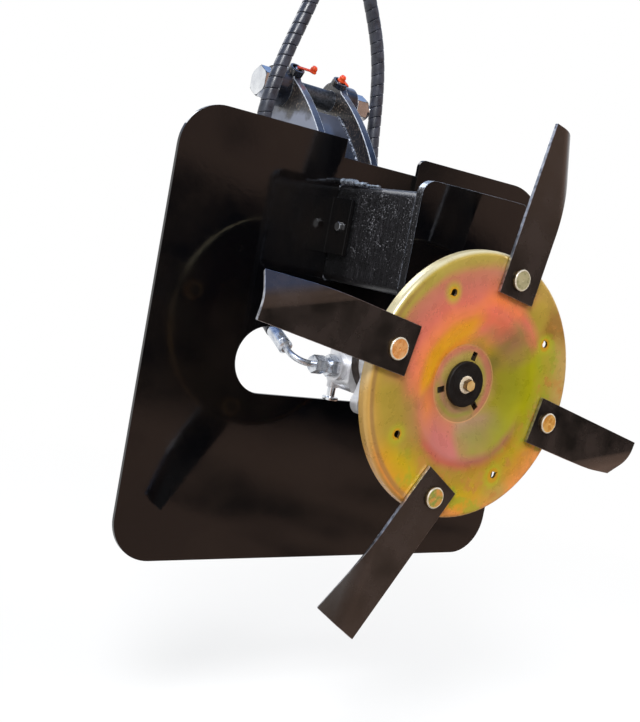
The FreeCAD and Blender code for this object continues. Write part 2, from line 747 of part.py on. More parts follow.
def lean_on_eye(target, x, distance):
    """Stand a piece on an ear's upper eye, leaning forward, at a distance from the link pin."""
    lean = size["grease_lean"]
    turn(target, Vector(1, 0, 0), lean)
    place(target, x, size["link_back"] - distance * sine(lean), size["link_rise"] + distance * cosine(lean))


def make_grease_fittings():
    """A collar with a nipple in it on each ear's upper eye, and each nipple's soft cap."""
    seat = size["ear_eye_radius"] + size["fitting_seat"]
    nipple_top = seat + size["nipple_height"]
    for name, x in (("left", -size["grease_left"]), ("right", size["grease_right"])):
        collar = new_body("grease_collar_" + name)
        ring = sketch_on(collar, "XY_Plane", "collar_ring_" + name)
        circle(ring, size["collar_radius"])
        circle(ring, size["collar_radius"] - size["collar_wall"])
        pad(collar, ring, size["collar_height"])
        lean_on_eye(collar, x, seat)
        nipple = new_body("grease_nipple_" + name)
        stem = sketch_on(nipple, "XY_Plane", "nipple_stem_" + name)
        circle(stem, size["nipple_radius"])
        pad(nipple, stem, size["nipple_height"])
        lean_on_eye(nipple, x, seat)
    cap = new_body("grease_cap_right")
    bell = sketch_on(cap, "XY_Plane", "cap_bell_right")
    circle(bell, size["cap_radius"])
    pad(cap, bell, size["cap_height"])
    lean_on_eye(cap, size["grease_right"], nipple_top)
    loose = new_body("grease_cap_left")
    strap = sketch_on(loose, "XY_Plane", "cap_strap")
    half = size["strap_width"] / 2
    reach = size["strap_length"]
    outline(strap, [(-half, -half), (reach, -half), (reach, half), (-half, half)])
    pad(loose, strap, size["strap_thickness"])
    bell = sketch_on(loose, "XY_Plane", "cap_bell_left")
    circle(bell, size["cap_radius"], reach)
    pad(loose, bell, size["cap_height"])
    lean_on_eye(loose, -size["grease_left"], nipple_top)


# ---------------------------------------------------------------- bearing housing and motor

def make_bearing_housing():
    """The housing that carries the spindle behind the motor plate."""
    bore = size["spindle_radius"] + size["fit_clearance"]
    flange = size["housing_flange_radius"]
    body = turned_piece(
        "bearing_housing",
        [
            (bore, ZERO),
            (flange, ZERO),
            (flange, size["housing_flange"]),
            (size["housing_radius"], size["housing_flange"]),
            (size["housing_radius"], size["housing_length"]),
            (ZERO, size["housing_length"]),
            (ZERO, size["housing_length"] - size["housing_end_wall"]),
            (bore, size["housing_length"] - size["housing_end_wall"]),
        ],
        y=plate_back,
    )
    hole = sketch_on(body, "XZ_Plane", "flange_hole")
    reach = size["housing_bolt_circle"] * cosine(as_size(EIGHTH_TURN))
    circle(hole, size["housing_bolt_radius"] + size["bolt_clearance"], reach, reach)
    first = pocket(body, hole, through=size["housing_flange"])
    around(body, first, "flange_holes", 4, "Y_Axis")


def make_housing_bolts():
    """Four bolts from the motor plate's front into the bearing housing's flange."""
    bolts = []
    reach = size["housing_bolt_circle"].value
    for number in range(4):
        angle = math.radians(EIGHTH_TURN + QUARTER_TURN * number)
        head = doc.addObject("Part::Prism", "housing_bolt_head")
        bind(head, "Circumradius", size["housing_head_radius"])
        head.Polygon = 6
        bind(head, "Height", size["bolt_head_height"])
        bind(head, "Placement.Base.z", -size["bolt_head_height"])
        shank = doc.addObject("Part::Cylinder", "housing_bolt_shank")
        bind(shank, "Radius", size["housing_bolt_radius"])
        clamped = size["motor_plate_thickness"] + size["housing_flange"]
        bind(shank, "Height", clamped + size["housing_bolt_end"])
        bolt = doc.addObject("Part::Fuse", "housing_bolt")
        bolt.Base = head
        bolt.Tool = shank
        bolt.Placement = Placement(
            Vector(reach * math.cos(angle), 0, reach * math.sin(angle)),
            Rotation(Vector(1, 0, 0), -90),
        )
        bolts.append(bolt)
    group = keep(doc.addObject("Part::Compound", "housing_bolts"), "housing_bolts")
    group.Links = bolts
    place(group, axis_x, plate_front, axis_z)


def make_motor_flange():
    """The motor's two-lobed flange with the front section of its body."""
    body = new_body("motor_flange")
    reach = size["lobe_reach"]
    lobe = size["lobe_radius"]
    waist = size["housing_radius"]
    middle = sketch_on(body, "XZ_Plane", "flange_waist")
    outline(
        middle,
        [
            (-reach, -lobe),
            (ZERO, -waist),
            (reach, -lobe),
            (reach, lobe),
            (ZERO, waist),
            (-reach, lobe),
        ],
    )
    pad(body, middle, size["flange_thickness"], back=True)
    for side, name in ((-1, "low"), (1, "high")):
        end = sketch_on(body, "XZ_Plane", "lobe_" + name)
        circle(end, lobe, reach * side)
        pad(body, end, size["flange_thickness"], back=True)
    barrel = sketch_on(body, "XZ_Plane", "motor_front")
    circle(barrel, size["motor_radius"])
    pad(body, barrel, size["flange_thickness"] + size["motor_front_length"], back=True)
    for side, name in ((-1, "low"), (1, "high")):
        hole = sketch_on(body, "XZ_Plane", "lobe_hole_" + name)
        circle(hole, size["housing_bolt_radius"] + size["bolt_clearance"], reach * side)
        pocket(body, hole)
    turn(body, Vector(0, 1, 0), -size["lobe_angle"])
    place(body, axis_x, housing_back, axis_z)


def make_motor_body():
    """The gear ring and the port block behind the flange, with a round end cap."""
    ring = size["ring_radius"]
    ring_end = size["ring_length"]
    turned_piece("motor_ring", [(ZERO, ZERO), (ring, ZERO), (ring, ring_end), (ZERO, ring_end)],
                 y=ring_front)
    block = new_body("motor_block")
    half = size["block_size"] / 2
    square = sketch_on(block, "XZ_Plane", "block_outline")
    outline(square, [(-half, -half), (half, -half), (half, half), (-half, half)])
    pad(block, square, size["block_length"], back=True)
    corners = [stands_at(x, z, "XZ") for x in (-half, half) for z in (-half, half)]
    round_edges(block, "block_corners", size["block_corner"],
                lambda edge, middle: any(test(edge, middle) for test in corners))
    bosses = sketch_on(block, "YZ_Plane", "port_bosses", -half - size["port_boss_length"])
    circle(bosses, size["port_boss_radius"], size["block_length"] / 2, -size["port_drop"])
    pad(block, bosses, size["block_size"] + size["port_boss_length"] * 2)
    plug_x = -half + size["plug_inset"]
    plug_y = size["block_length"] - size["plug_ahead"]
    foot = sketch_on(block, "XY_Plane", "plug_boss", -half)
    circle(foot, size["plug_boss_radius"], plug_x, plug_y)
    pad(block, foot, size["block_corner"])
    place(block, axis_x, block_front, axis_z)
    cap = size["motor_cap_radius"]
    cap_end = size["motor_cap_length"]
    turned_piece("motor_cap", [(ZERO, ZERO), (cap, ZERO), (cap, cap_end), (ZERO, cap_end)],
                 y=block_front + size["block_length"])
    plug = new_body("drain_plug")
    stem = sketch_on(plug, "XY_Plane", "plug_stem")
    circle(stem, size["plug_stem_radius"])
    pad(plug, stem, size["plug_stem_length"], back=True)
    head = sketch_on(plug, "XY_Plane", "plug_head", -size["plug_stem_length"] - size["plug_head_length"])
    circle(head, size["plug_head_radius"])
    pad(plug, head, size["plug_head_length"])
    place(plug, axis_x + plug_x, block_front + plug_y, axis_z - half)


def make_port_fittings():
    """On each side of the port block: an adaptor with the hose's swivel nut on it."""
    face = size["block_size"] / 2 + size["port_boss_length"]
    for side, name in ((-1, "left"), (1, "right")):
        body = new_body("port_fitting_" + name)
        start = ZERO
        for piece, radius, length in (
            ("adaptor", size["adaptor_radius"], size["adaptor_length"]),
            ("swivel", size["swivel_radius"], size["swivel_length"]),
        ):
            flats = sketch_on(body, "YZ_Plane", "%s_flats_%s" % (piece, name), start)
            hexagon(flats, radius)
            pad(body, flats, length)
            start = start + length
            if piece == "adaptor":
                neck = sketch_on(body, "YZ_Plane", "neck_" + name, start)
                circle(neck, size["neck_radius"])
                pad(body, neck, size["neck_length"])
                start = start + size["neck_length"]
        turn(body, Vector(0, 0, 1), as_size(180 if side < 0 else 0))
        place(body, axis_x + face * side, block_middle, port_z)


# ---------------------------------------------------------------- hoses

def rounded_path(points, radii=None):
    """Straight runs joined by tangent arcs; each arc is as large as its two runs allow."""
    edges = []
    last = points[0]
    used = []
    for index in range(1, len(points) - 1):
        before = points[index] - points[index - 1]
        after = points[index + 1] - points[index]
        half_turn = before.getAngle(after) / 2
        radius = RUN_SHARE * min(before.Length, after.Length) / math.tan(half_turn)
        if radii:
            radius = radii[index - 1]
        trim = radius * math.tan(half_turn)
        before.normalize()
        after.normalize()
        enter = points[index] - before * trim
        leave = points[index] + after * trim
        inward = (after - before).normalize()
        middle = points[index] + inward * (radius / math.cos(half_turn) - radius)
        edges.append(Part.LineSegment(last, enter).toShape())
        edges.append(Part.Arc(enter, middle, leave).toShape())
        last = leave
        used.append(radius)
    edges.append(Part.LineSegment(last, points[-1]).toShape())
    return Part.Wire(edges), used


def swept_tube(name, points, radius, radii=None):
    """A round bar along a path; its volume is compared with its section times its length."""
    path, used = rounded_path(points, radii)
    start = points[1] - points[0]
    section = Part.Wire(Part.makeCircle(radius, points[0], start))
    solid = path.makePipeShell([section], True, True)
    expected = math.pi * radius * radius * path.Length
    if abs(solid.Volume / expected - 1) > NEAR:
        raise RuntimeError("%s has the wrong volume" % name)
    piece = keep(doc.addObject("Part::Feature", name), name)
    piece.Shape = solid
    print(name, "length", round(path.Length, 1), "arc radii", [round(value, 1) for value in used])
    return piece


# The hoses' routes after their first run, from the arm pin.
LEFT_ROUTE = [
    (-102, -77, -114),
    (-104, -60, -60),
    (-107, -54, -3),
    (-109, -53, 55),
    (-106.5, -55, 112),
    (-92, -54, 167),
    (-75.5, -55, 220),
    (-65, -55, 255),
]
RIGHT_ROUTE = [
    (120, -73, -119),
    (121, -45, -73),
    (121, -24, -21),
    (117, -7, 33),
    (113.5, 2, 89),
    (111, 6, 144),
    (103, 7, 198),
    (87, 9, 249),
    (62, 10, 295),
]


def make_hose_line(name, side, route):
    """One side's elbow, ferrule, hose and quick coupler."""
    reach = size["block_size"].value / 2 + size["port_boss_length"].value
    reach += size["adaptor_length"].value + size["neck_length"].value + size["swivel_length"].value
    start = Vector(axis_x.value + reach * side, block_middle.value, port_z.value)
    corner = start + Vector(size["elbow_reach"].value * side, 0, 0)
    tilt = math.radians(size["ferrule_tilt"].value)
    along = Vector(0, math.cos(tilt), math.sin(tilt))
    crimp = corner + along * size["elbow_rise"].value
    bend = size["elbow_bend"].value
    swept_tube("elbow_" + name, [start, corner, crimp], size["elbow_radius"].value, [bend])
    ferrule = new_body("ferrule_" + name)
    profile = sketch_on(ferrule, "XY_Plane", "ferrule_profile_" + name)
    radius = size["ferrule_radius"]
    length = size["ferrule_length"]
    outline(profile, [(ZERO, ZERO), (radius, ZERO), (radius, length), (ZERO, length)])
    revolve(ferrule, profile, "V_Axis")
    ferrule.Placement = Placement(crimp, Rotation(Vector(0, 1, 0), along))
    mouth = crimp + along * size["ferrule_length"].value
    points = [mouth, mouth + along * size["hose_first_run"].value] + [Vector(*point) for point in route]
    swept_tube("hose_" + name, points, size["hose_radius"].value)
    coupler = new_body("coupler_" + name)
    barrel = sketch_on(coupler, "XY_Plane", "coupler_profile_" + name)
    wide = size["coupler_radius"]
    long = size["coupler_length"]
    outline(
        barrel,
        [
            (ZERO, ZERO),
            (size["coupler_neck_radius"], ZERO),
            (size["coupler_neck_radius"], size["coupler_neck_length"]),
            (wide, size["coupler_neck_length"]),
            (wide, long - size["coupler_nose_length"]),
            (size["coupler_nose_radius"], long),
            (ZERO, long),
        ],
    )
    revolve(coupler, barrel, "V_Axis")
    final = (points[-1] - points[-2]).normalize()
    coupler.Placement = Placement(points[-1], Rotation(Vector(0, 1, 0), final))


# ---------------------------------------------------------------- disc, hub and blades

def make_disc():
    """The dished cutting disc with its turned rim."""
    sheet_thickness = size["disc_thickness"]
    depth = size["dish_depth"]
    run = size["dish_outer"] - size["dish_inner"]
    slope = root(run * run + depth * depth)
    shift = sheet_thickness * (slope - run) / depth
    rim = size["disc_radius"]
    bore = size["hub_bolt_radius"] + size["bolt_clearance"]
    body = turned_piece(
        "disc",
        [
            (bore, depth),
            (size["dish_inner"], depth),
            (size["dish_outer"], ZERO),
            (rim, ZERO),
            (rim, size["rim_depth"]),
            (rim - sheet_thickness, size["rim_depth"]),
            (rim - sheet_thickness, sheet_thickness),
            (size["dish_outer"] + shift, sheet_thickness),
            (size["dish_inner"] + shift, depth + sheet_thickness),
            (bore, depth + sheet_thickness),
        ],
        y=disc_front,
    )

    def ring_at(radius, station):
        def test(edge, middle):
            distance = math.hypot(middle.x, middle.z)
            level = abs(middle.y - as_size(station).value) < NEAR
            return level and abs(distance - radius.value) < NEAR and isinstance(edge.Curve, Part.Circle)

        return test

    round_edges(body, "rim_outside", size["rim_bend"], ring_at(rim, ZERO))
    round_edges(body, "rim_inside", size["rim_bend"] - sheet_thickness,
                ring_at(rim - sheet_thickness, sheet_thickness))
    round_edges(body, "dish_edge", size["dish_edge_radius"], ring_at(size["dish_outer"], ZERO))
    round_edges(body, "dish_floor", size["dish_floor_radius"], ring_at(size["dish_inner"], depth))
    phase = size["bolt_phase"]
    bolt = sketch_on(body, "XZ_Plane", "blade_bolt_hole")
    circle(bolt, size["blade_bolt_radius"] + size["fit_clearance"],
           size["bolt_circle"] * cosine(phase), size["bolt_circle"] * sine(phase))
    first = pocket(body, bolt)
    around(body, first, "blade_bolt_holes", 4, "Y_Axis")
    drain = sketch_on(body, "XZ_Plane", "drop_hole")
    between = phase + EIGHTH_TURN
    circle(drain, size["drain_radius"],
           size["drain_circle"] * cosine(between), size["drain_circle"] * sine(between))
    first = pocket(body, drain)
    around(body, first, "drop_holes", 4, "Y_Axis")
    key = sketch_on(body, "XZ_Plane", "key_slot")
    near = size["key_reach"] - size["key_length"] / 2
    far = size["key_reach"] + size["key_length"] / 2
    half = size["key_width"] / 2
    corners = []
    for along, across in ((near, -half), (far, -half), (far, half), (near, half)):
        right = along * cosine(phase) - across * sine(phase)
        up = along * sine(phase) + across * cosine(phase)
        corners.append((right, up))
    outline(key, corners)
    first = pocket(body, key)
    around(body, first, "key_slots", 3, "Y_Axis")


def make_hub():
    """The hub behind the disc, with the spindle that turns in the bearing housing."""
    start = size["dish_depth"] + size["disc_thickness"]
    flange = start + size["hub_flange_length"]
    neck = size["plate_behind"] - size["hub_step"]
    end = size["plate_behind"] + size["motor_plate_thickness"] + size["housing_length"]
    end = end - size["housing_end_wall"] - size["spindle_end_gap"]
    bore_end = start + size["hub_bolt_grip"] + size["hub_bolt_space"]
    bore = size["hub_bolt_radius"] + size["fit_clearance"]
    turned_piece(
        "hub",
        [
            (bore, start),
            (size["hub_flange_radius"], start),
            (size["hub_flange_radius"], flange),
            (size["hub_radius"], flange),
            (size["hub_radius"], neck),
            (size["spindle_radius"], neck),
            (size["spindle_radius"], end),
            (ZERO, end),
            (ZERO, bore_end),
            (bore, bore_end),
        ],
        y=disc_front,
    )
    floor = size["dish_depth"]
    face = floor - size["washer_thickness"]
    washer = size["washer_radius"]
    turned_piece("hub_washer", [(bore, face), (washer, face), (washer, floor), (bore, floor)],
                 y=disc_front)
    bolt = new_body("hub_bolt")
    collar = sketch_on(bolt, "XZ_Plane", "hub_bolt_flange", -face)
    circle(collar, size["hub_bolt_collar_radius"])
    pad(bolt, collar, size["hub_bolt_collar_height"])
    head = sketch_on(bolt, "XZ_Plane", "hub_bolt_head", -face + size["hub_bolt_collar_height"])
    hexagon(head, size["hub_bolt_head_radius"])
    pad(bolt, head, size["hub_bolt_head_height"])
    shank = sketch_on(bolt, "XZ_Plane", "hub_bolt_shank", -face)
    circle(shank, size["hub_bolt_radius"])
    pad(bolt, shank, size["washer_thickness"] + size["disc_thickness"] + size["hub_bolt_grip"], back=True)
    place(bolt, axis_x, disc_front, axis_z)


BLADES = [
    ("first", size["blade_angle_first"], 0),
    ("second", size["blade_angle_second"], QUARTER_TURN),
    ("third", size["blade_angle_third"], QUARTER_TURN * 2),
    ("fourth", size["blade_angle_fourth"], QUARTER_TURN * 3),
]


def bolt_place(step):
    """Where a blade bolt's axis crosses the disc's face."""
    angle = size["bolt_phase"] + step
    reach = size["bolt_circle"]
    return (axis_x + reach * cosine(angle), disc_front, axis_z + reach * sine(angle))


def make_blade(name, angle, step):
    """A flat blade whose outer corner is bent back along a slanting fold."""
    body = new_body("blade_" + name)
    thick = size["blade_thickness"]
    wing_edge = -size["blade_wing"]
    tip = size["blade_length"] - size["blade_root"]
    fold_run = tip - size["fold_start"]
    fold_rise = size["fold_end"] + size["blade_wing"]
    fold_length = root(fold_run * fold_run + fold_rise * fold_rise)
    across = fold_rise / fold_length
    along = fold_run / fold_length
    bend = size["fold_angle"]
    flat_side = size["blade_length"]
    wing_side = size["blade_length"] / 2
    crease = thick * tangent(bend / 2)
    # The bent section, seen along the fold: front face, then round the wing, then the back.
    section = body.newObject("Sketcher::SketchObject", "blade_section_" + name)
    plane = [item for item in body.Origin.OriginFeatures if item.Role == "YZ_Plane"][0]
    section.AttachmentSupport = [(plane, "")]
    section.MapMode = "FlatFace"
    slant = math.degrees(math.atan2(fold_rise.value, fold_run.value))
    section.AttachmentOffset = Placement(Vector(), Rotation(Vector(-1, 0, 0), slant))
    reach = size["blade_length"]
    bind(section, "AttachmentOffset.Base.y", wing_edge - reach * across)
    bind(section, "AttachmentOffset.Base.z", size["fold_start"] - reach * along)
    outline(
        section,
        [
            (ZERO, flat_side),
            (ZERO, ZERO),
            (wing_side * sine(bend), -wing_side * cosine(bend)),
            (wing_side * sine(bend) + thick * cosine(bend), -wing_side * cosine(bend) + thick * sine(bend)),
            (thick, crease),
            (thick, flat_side),
        ],
    )
    slab = pad(body, section, reach * 2)
    normal = Vector(-across.value, 0, along.value)
    origin = Vector(size["fold_start"].value, 0, wing_edge.value)

    def crease_at(y, out):
        def test(edge, middle):
            offset = (middle - origin).dot(normal)
            return abs(middle.y - y) < NEAR and abs(offset - out) < NEAR

        return test

    round_edges(body, "fold_front_" + name, size["fold_radius"] + thick, crease_at(0, 0))
    round_edges(body, "fold_back_" + name, size["fold_radius"], crease_at(thick.value, crease.value))
    # The blade's outline, with the winged corner drawn in by its bend.
    depth = fold_run * across
    drawn = depth * (as_size(1) - cosine(bend))
    drawn_x = tip - drawn * across
    drawn_z = wing_edge + drawn * along
    around_it = size["blade_length"] * 2
    trim = sketch_on(body, "XZ_Plane", "blade_outline_" + name)
    frame_points = [
        (-around_it, -around_it),
        (around_it, -around_it),
        (around_it, around_it),
        (-around_it, around_it),
    ]
    blade_points = [
        (-size["blade_root"], wing_edge),
        (size["fold_start"], wing_edge),
        (drawn_x, drawn_z),
        (tip, size["fold_end"]),
        (tip, size["blade_straight"]),
        (-size["blade_root"], size["blade_straight"]),
    ]
    outline(trim, frame_points)
    outline(trim, blade_points)
    pocket(body, trim)
    hole = sketch_on(body, "XZ_Plane", "blade_hole_" + name)
    circle(hole, size["blade_bolt_radius"] + size["fit_clearance"])
    pocket(body, hole)
    turn(body, Vector(0, 1, 0), -angle)
    x, y, z = bolt_place(step)
    place(body, x, y - size["blade_gap"] - thick, z)


def make_blade_bolt(name, step):
    """A shouldered bolt with a low round head; the blade swings on its shank."""
    under = size["blade_gap"] + size["blade_thickness"] + size["bolt_clearance"]
    top = under + size["blade_head_height"]
    nut_end = size["disc_thickness"] + size["blade_nut_length"]
    shank = size["blade_bolt_radius"]
    head = size["blade_head_radius"]
    shoulder = size["blade_gap"] - size["bolt_clearance"]
    x, y, z = bolt_place(step)
    body = turned_piece(
        "blade_bolt_" + name,
        [
            (ZERO, -top),
            (head, -top),
            (head, -under),
            (shank, -under),
            (shank, -shoulder),
            (head, -shoulder),
            (head, ZERO),
            (shank, ZERO),
            (shank, nut_end + size["blade_bolt_end"]),
            (ZERO, nut_end + size["blade_bolt_end"]),
        ],
        x=x, y=y, z=z,
    )
    round_edges(body, "blade_head_" + name, size["blade_head_round"],
                lambda edge, middle: abs(middle.y + top.value) < NEAR)


def make_blade_nuts():
    """The four nuts behind the disc."""
    nuts = []
    for number in range(4):
        angle = math.radians(size["bolt_phase"].value + QUARTER_TURN * number)
        reach = size["bolt_circle"].value
        flats = doc.addObject("Part::Prism", "blade_nut_flats")
        flats.Polygon = 6
        bind(flats, "Circumradius", size["blade_nut_radius"])
        bind(flats, "Height", size["blade_nut_length"])
        bore = doc.addObject("Part::Cylinder", "blade_nut_bore")
        bind(bore, "Radius", size["blade_bolt_radius"] + size["fit_clearance"])
        bind(bore, "Height", size["blade_nut_length"])
        nut = doc.addObject("Part::Cut", "blade_nut")
        nut.Base = flats
        nut.Tool = bore
        nut.Placement = Placement(
            Vector(reach * math.cos(angle), 0, reach * math.sin(angle)),
            Rotation(Vector(1, 0, 0), -90),
        )
        nuts.append(nut)
    group = keep(doc.addObject("Part::Compound", "blade_nuts"), "blade_nuts")
    group.Links = nuts
    place(group, axis_x, disc_front + size["disc_thickness"], axis_z)


def make_flange_bolts():
    """The two bolts through the motor flange's lobes, heads to the back."""
    bolts = []
    for side in (-1, 1):
        angle = math.radians(size["lobe_angle"].value)
        reach = size["lobe_reach"].value * side
        head = doc.addObject("Part::Cylinder", "lobe_bolt_head")
        bind(head, "Radius", size["flange_head_radius"])
        bind(head, "Height", size["bolt_head_height"])
        shank = doc.addObject("Part::Cylinder", "lobe_bolt_shank")
        bind(shank, "Radius", size["housing_bolt_radius"])
        bind(shank, "Height", size["flange_thickness"])
        bind(shank, "Placement.Base.z", -size["flange_thickness"])
        bolt = doc.addObject("Part::Fuse", "lobe_bolt")
        bolt.Base = head
        bolt.Tool = shank
        bolt.Placement = Placement(
            Vector(reach * math.cos(angle), 0, reach * math.sin(angle)),
            Rotation(Vector(1, 0, 0), -90),
        )
        bolts.append(bolt)
    group = keep(doc.addObject("Part::Compound", "flange_bolts"), "flange_bolts")
    group.Links = bolts
    place(group, axis_x, flange_back, axis_z)


make_guard_plate()
make_box_arm()
make_tab_bolts()
make_motor_plate()
make_hitch_plate()
make_ear("ear_left", -1)
make_ear("ear_right", 1)
make_ear_web()
make_bosses()
make_link_pin()
make_grease_fittings()
make_bearing_housing()
make_housing_bolts()
make_motor_flange()
make_motor_body()
make_flange_bolts()
make_port_fittings()
make_hose_line("left", -1, LEFT_ROUTE)
make_hose_line("right", 1, RIGHT_ROUTE)
make_disc()
make_hub()
for blade_name, blade_angle, blade_step in BLADES:
    make_blade(blade_name, blade_angle, blade_step)
    make_blade_bolt(blade_name, blade_step)
make_blade_nuts()

doc.recompute()
for item in doc.Objects:
    if "Invalid" in item.State or "Error" in item.State:
        raise RuntimeError("%s failed" % item.Name)
os.makedirs("parts", exist_ok=True)
for piece in parts:
    if piece.Shape.isNull() or not piece.Shape.isValid() or not piece.Shape.Solids:
        raise RuntimeError("%s has no valid shape" % piece.Label)
for piece in parts:
    piece.Shape.exportStep("parts/%s.step" % piece.Label)
print("nodes", len(parts))
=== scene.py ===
"""Looks of the hydraulic brush cutter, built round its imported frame. Metres, +Z up, the disc faces -Y."""

import math
import random

import bmesh
import bpy
from mathutils import Matrix, Quaternion, Vector


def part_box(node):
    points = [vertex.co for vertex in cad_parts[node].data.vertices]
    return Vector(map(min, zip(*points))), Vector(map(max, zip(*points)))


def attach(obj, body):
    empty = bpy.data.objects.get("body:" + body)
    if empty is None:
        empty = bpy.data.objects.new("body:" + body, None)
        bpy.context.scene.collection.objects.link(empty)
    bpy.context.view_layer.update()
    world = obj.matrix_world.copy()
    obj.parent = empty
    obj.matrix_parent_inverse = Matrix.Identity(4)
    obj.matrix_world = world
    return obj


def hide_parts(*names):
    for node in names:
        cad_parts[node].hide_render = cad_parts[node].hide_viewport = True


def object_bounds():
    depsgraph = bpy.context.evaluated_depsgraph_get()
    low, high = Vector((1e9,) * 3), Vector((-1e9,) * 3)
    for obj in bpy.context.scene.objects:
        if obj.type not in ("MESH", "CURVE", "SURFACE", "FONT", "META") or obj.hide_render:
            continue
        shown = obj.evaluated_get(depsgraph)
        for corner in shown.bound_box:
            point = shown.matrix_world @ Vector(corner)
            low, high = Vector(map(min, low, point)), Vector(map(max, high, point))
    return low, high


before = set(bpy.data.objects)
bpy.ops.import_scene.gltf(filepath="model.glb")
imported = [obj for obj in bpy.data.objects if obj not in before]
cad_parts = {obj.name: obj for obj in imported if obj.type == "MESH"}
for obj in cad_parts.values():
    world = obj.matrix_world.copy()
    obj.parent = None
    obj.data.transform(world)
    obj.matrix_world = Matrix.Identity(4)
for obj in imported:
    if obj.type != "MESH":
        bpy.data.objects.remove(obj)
cad_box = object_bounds()

MM = 0.001
TURN = 2 * math.pi
X = Vector((1, 0, 0))
Y = Vector((0, 1, 0))
Z = Vector((0, 0, 1))
SHARP = math.radians(32)


# ---------------------------------------------------------------- modelling by hand

def start_object():
    """Object mode, with nothing selected."""
    if bpy.context.object and bpy.context.object.mode != "OBJECT":
        bpy.ops.object.mode_set(mode="OBJECT")
    bpy.ops.object.select_all(action="DESELECT")


def in_scene(name, data):
    """A new object in the scene."""
    piece = bpy.data.objects.new(name, data)
    bpy.context.scene.collection.objects.link(piece)
    return piece


def pick(piece):
    """Make a piece the only one selected."""
    start_object()
    piece.select_set(True)
    bpy.context.view_layer.objects.active = piece


def edit(piece):
    """Open a piece in edit mode with all of it selected."""
    pick(piece)
    bpy.ops.object.mode_set(mode="EDIT")
    bpy.ops.mesh.select_mode(type="VERT")
    bpy.ops.mesh.select_all(action="SELECT")


def leave_edit():
    """Back to object mode."""
    bpy.ops.object.mode_set(mode="OBJECT")


def select_where(piece, test):
    """In edit mode, select only the vertices whose place passes the test."""
    bpy.ops.mesh.select_mode(type="VERT")
    bpy.ops.mesh.select_all(action="DESELECT")
    mesh = bmesh.from_edit_mesh(piece.data)
    for vertex in mesh.verts:
        if test(vertex.co):
            vertex.select_set(True)
    mesh.select_flush_mode()
    bmesh.update_edit_mesh(piece.data)


def close_up(piece, gap=0.01 * MM):
    """Merge what doubles and turn all faces outwards."""
    edit(piece)
    bpy.ops.mesh.remove_doubles(threshold=gap)
    bpy.ops.mesh.normals_make_consistent(inside=False)
    leave_edit()


def apply_modifiers(piece):
    """Apply every modifier, top first."""
    pick(piece)
    for modifier in list(piece.modifiers):
        bpy.ops.object.modifier_apply(modifier=modifier.name)


def settle(piece, matrix=None):
    """Move a piece by a matrix, then keep its place in its mesh."""
    pick(piece)
    if matrix is not None:
        piece.matrix_world = matrix @ piece.matrix_world
    bpy.ops.object.transform_apply(location=True, rotation=True, scale=True)


def smooth(piece, angle=SHARP):
    """Shade a piece smooth up to an angle, with its large flat faces kept truly flat."""
    pick(piece)
    bpy.ops.object.shade_smooth_by_angle(angle=angle)
    weighted = piece.modifiers.new("flat_faces", "WEIGHTED_NORMAL")
    weighted.keep_sharp = True
    apply_modifiers(piece)


def bevelled(piece, width, segments=2):
    """Break the sharp edges of a piece; a second finish, if it has one, goes on them."""
    bevel = piece.modifiers.new("broken_edges", "BEVEL")
    bevel.width = width
    bevel.segments = segments
    bevel.limit_method = "ANGLE"
    bevel.angle_limit = SHARP
    bevel.use_clamp_overlap = True
    bevel.material = min(1, len(piece.data.materials) - 1)
    apply_modifiers(piece)


def dressed(piece, *finishes):
    """Give a piece its finish, and any further ones for its edges."""
    piece.data.materials.clear()
    for finish in finishes:
        piece.data.materials.append(finish)


def cut(piece, tool, operation="DIFFERENCE"):
    """Cut a piece with a tool, which is used up."""
    boolean = piece.modifiers.new("cut", "BOOLEAN")
    boolean.object = tool
    boolean.operation = operation
    boolean.solver = "EXACT"
    apply_modifiers(piece)
    bpy.data.objects.remove(tool)


def joined(pieces, name):
    """Several finished meshes as one piece."""
    start_object()
    for piece in pieces:
        piece.select_set(True)
    bpy.context.view_layer.objects.active = pieces[0]
    bpy.ops.object.join()
    pieces[0].name = name
    return pieces[0]


def standing(place, along):
    """The matrix that puts local +Z along a direction, at a place."""
    return Matrix.Translation(place) @ along.to_track_quat("Z", "Y").to_matrix().to_4x4()


def rounded(points, radii, steps=5):
    """An open or closed profile whose named corners are arcs; radii maps a corner's number to its radius."""
    result = []
    count = len(points)
    for number, point in enumerate(points):
        corner = Vector((*point, 0))
        if number not in radii:
            result.append(point)
            continue
        before = Vector((*points[number - 1], 0)) - corner
        after = Vector((*points[(number + 1) % count], 0)) - corner
        before.normalize()
        after.normalize()
        half = before.angle(after) / 2
        radius = radii[number]
        middle = corner + (before + after).normalized() * (radius / math.sin(half))
        enter = (corner + before * (radius / math.tan(half)) - middle).normalized()
        leave = (corner + after * (radius / math.tan(half)) - middle).normalized()
        for step in range(steps + 1):
            spot = middle + enter.slerp(leave, step / steps) * radius
            result.append((spot.x, spot.y))
    return result


def lathe(name, profile, sides=64, closed=False):
    """A turned piece: a point is drawn along the profile of (radius, height), then spun about Z."""
    start_object()
    bpy.ops.mesh.primitive_plane_add(size=MM, location=(0, 0, 0))
    piece = bpy.context.object
    piece.name = name
    edit(piece)
    bpy.ops.mesh.merge(type="CENTER")
    bpy.ops.transform.translate(value=(profile[0][0], 0, profile[0][1]))
    ends = profile[1:] + [profile[0]] if closed else profile[1:]
    here = profile[0]
    for point in ends:
        step = (point[0] - here[0], 0, point[1] - here[1])
        bpy.ops.mesh.extrude_region_move(TRANSFORM_OT_translate={"value": step})
        here = point
    bpy.ops.mesh.select_all(action="SELECT")
    bpy.ops.mesh.remove_doubles(threshold=MM / 100)
    bpy.ops.mesh.spin(steps=sides, angle=TURN, center=(0, 0, 0), axis=(0, 0, 1))
    leave_edit()
    close_up(piece)
    return piece


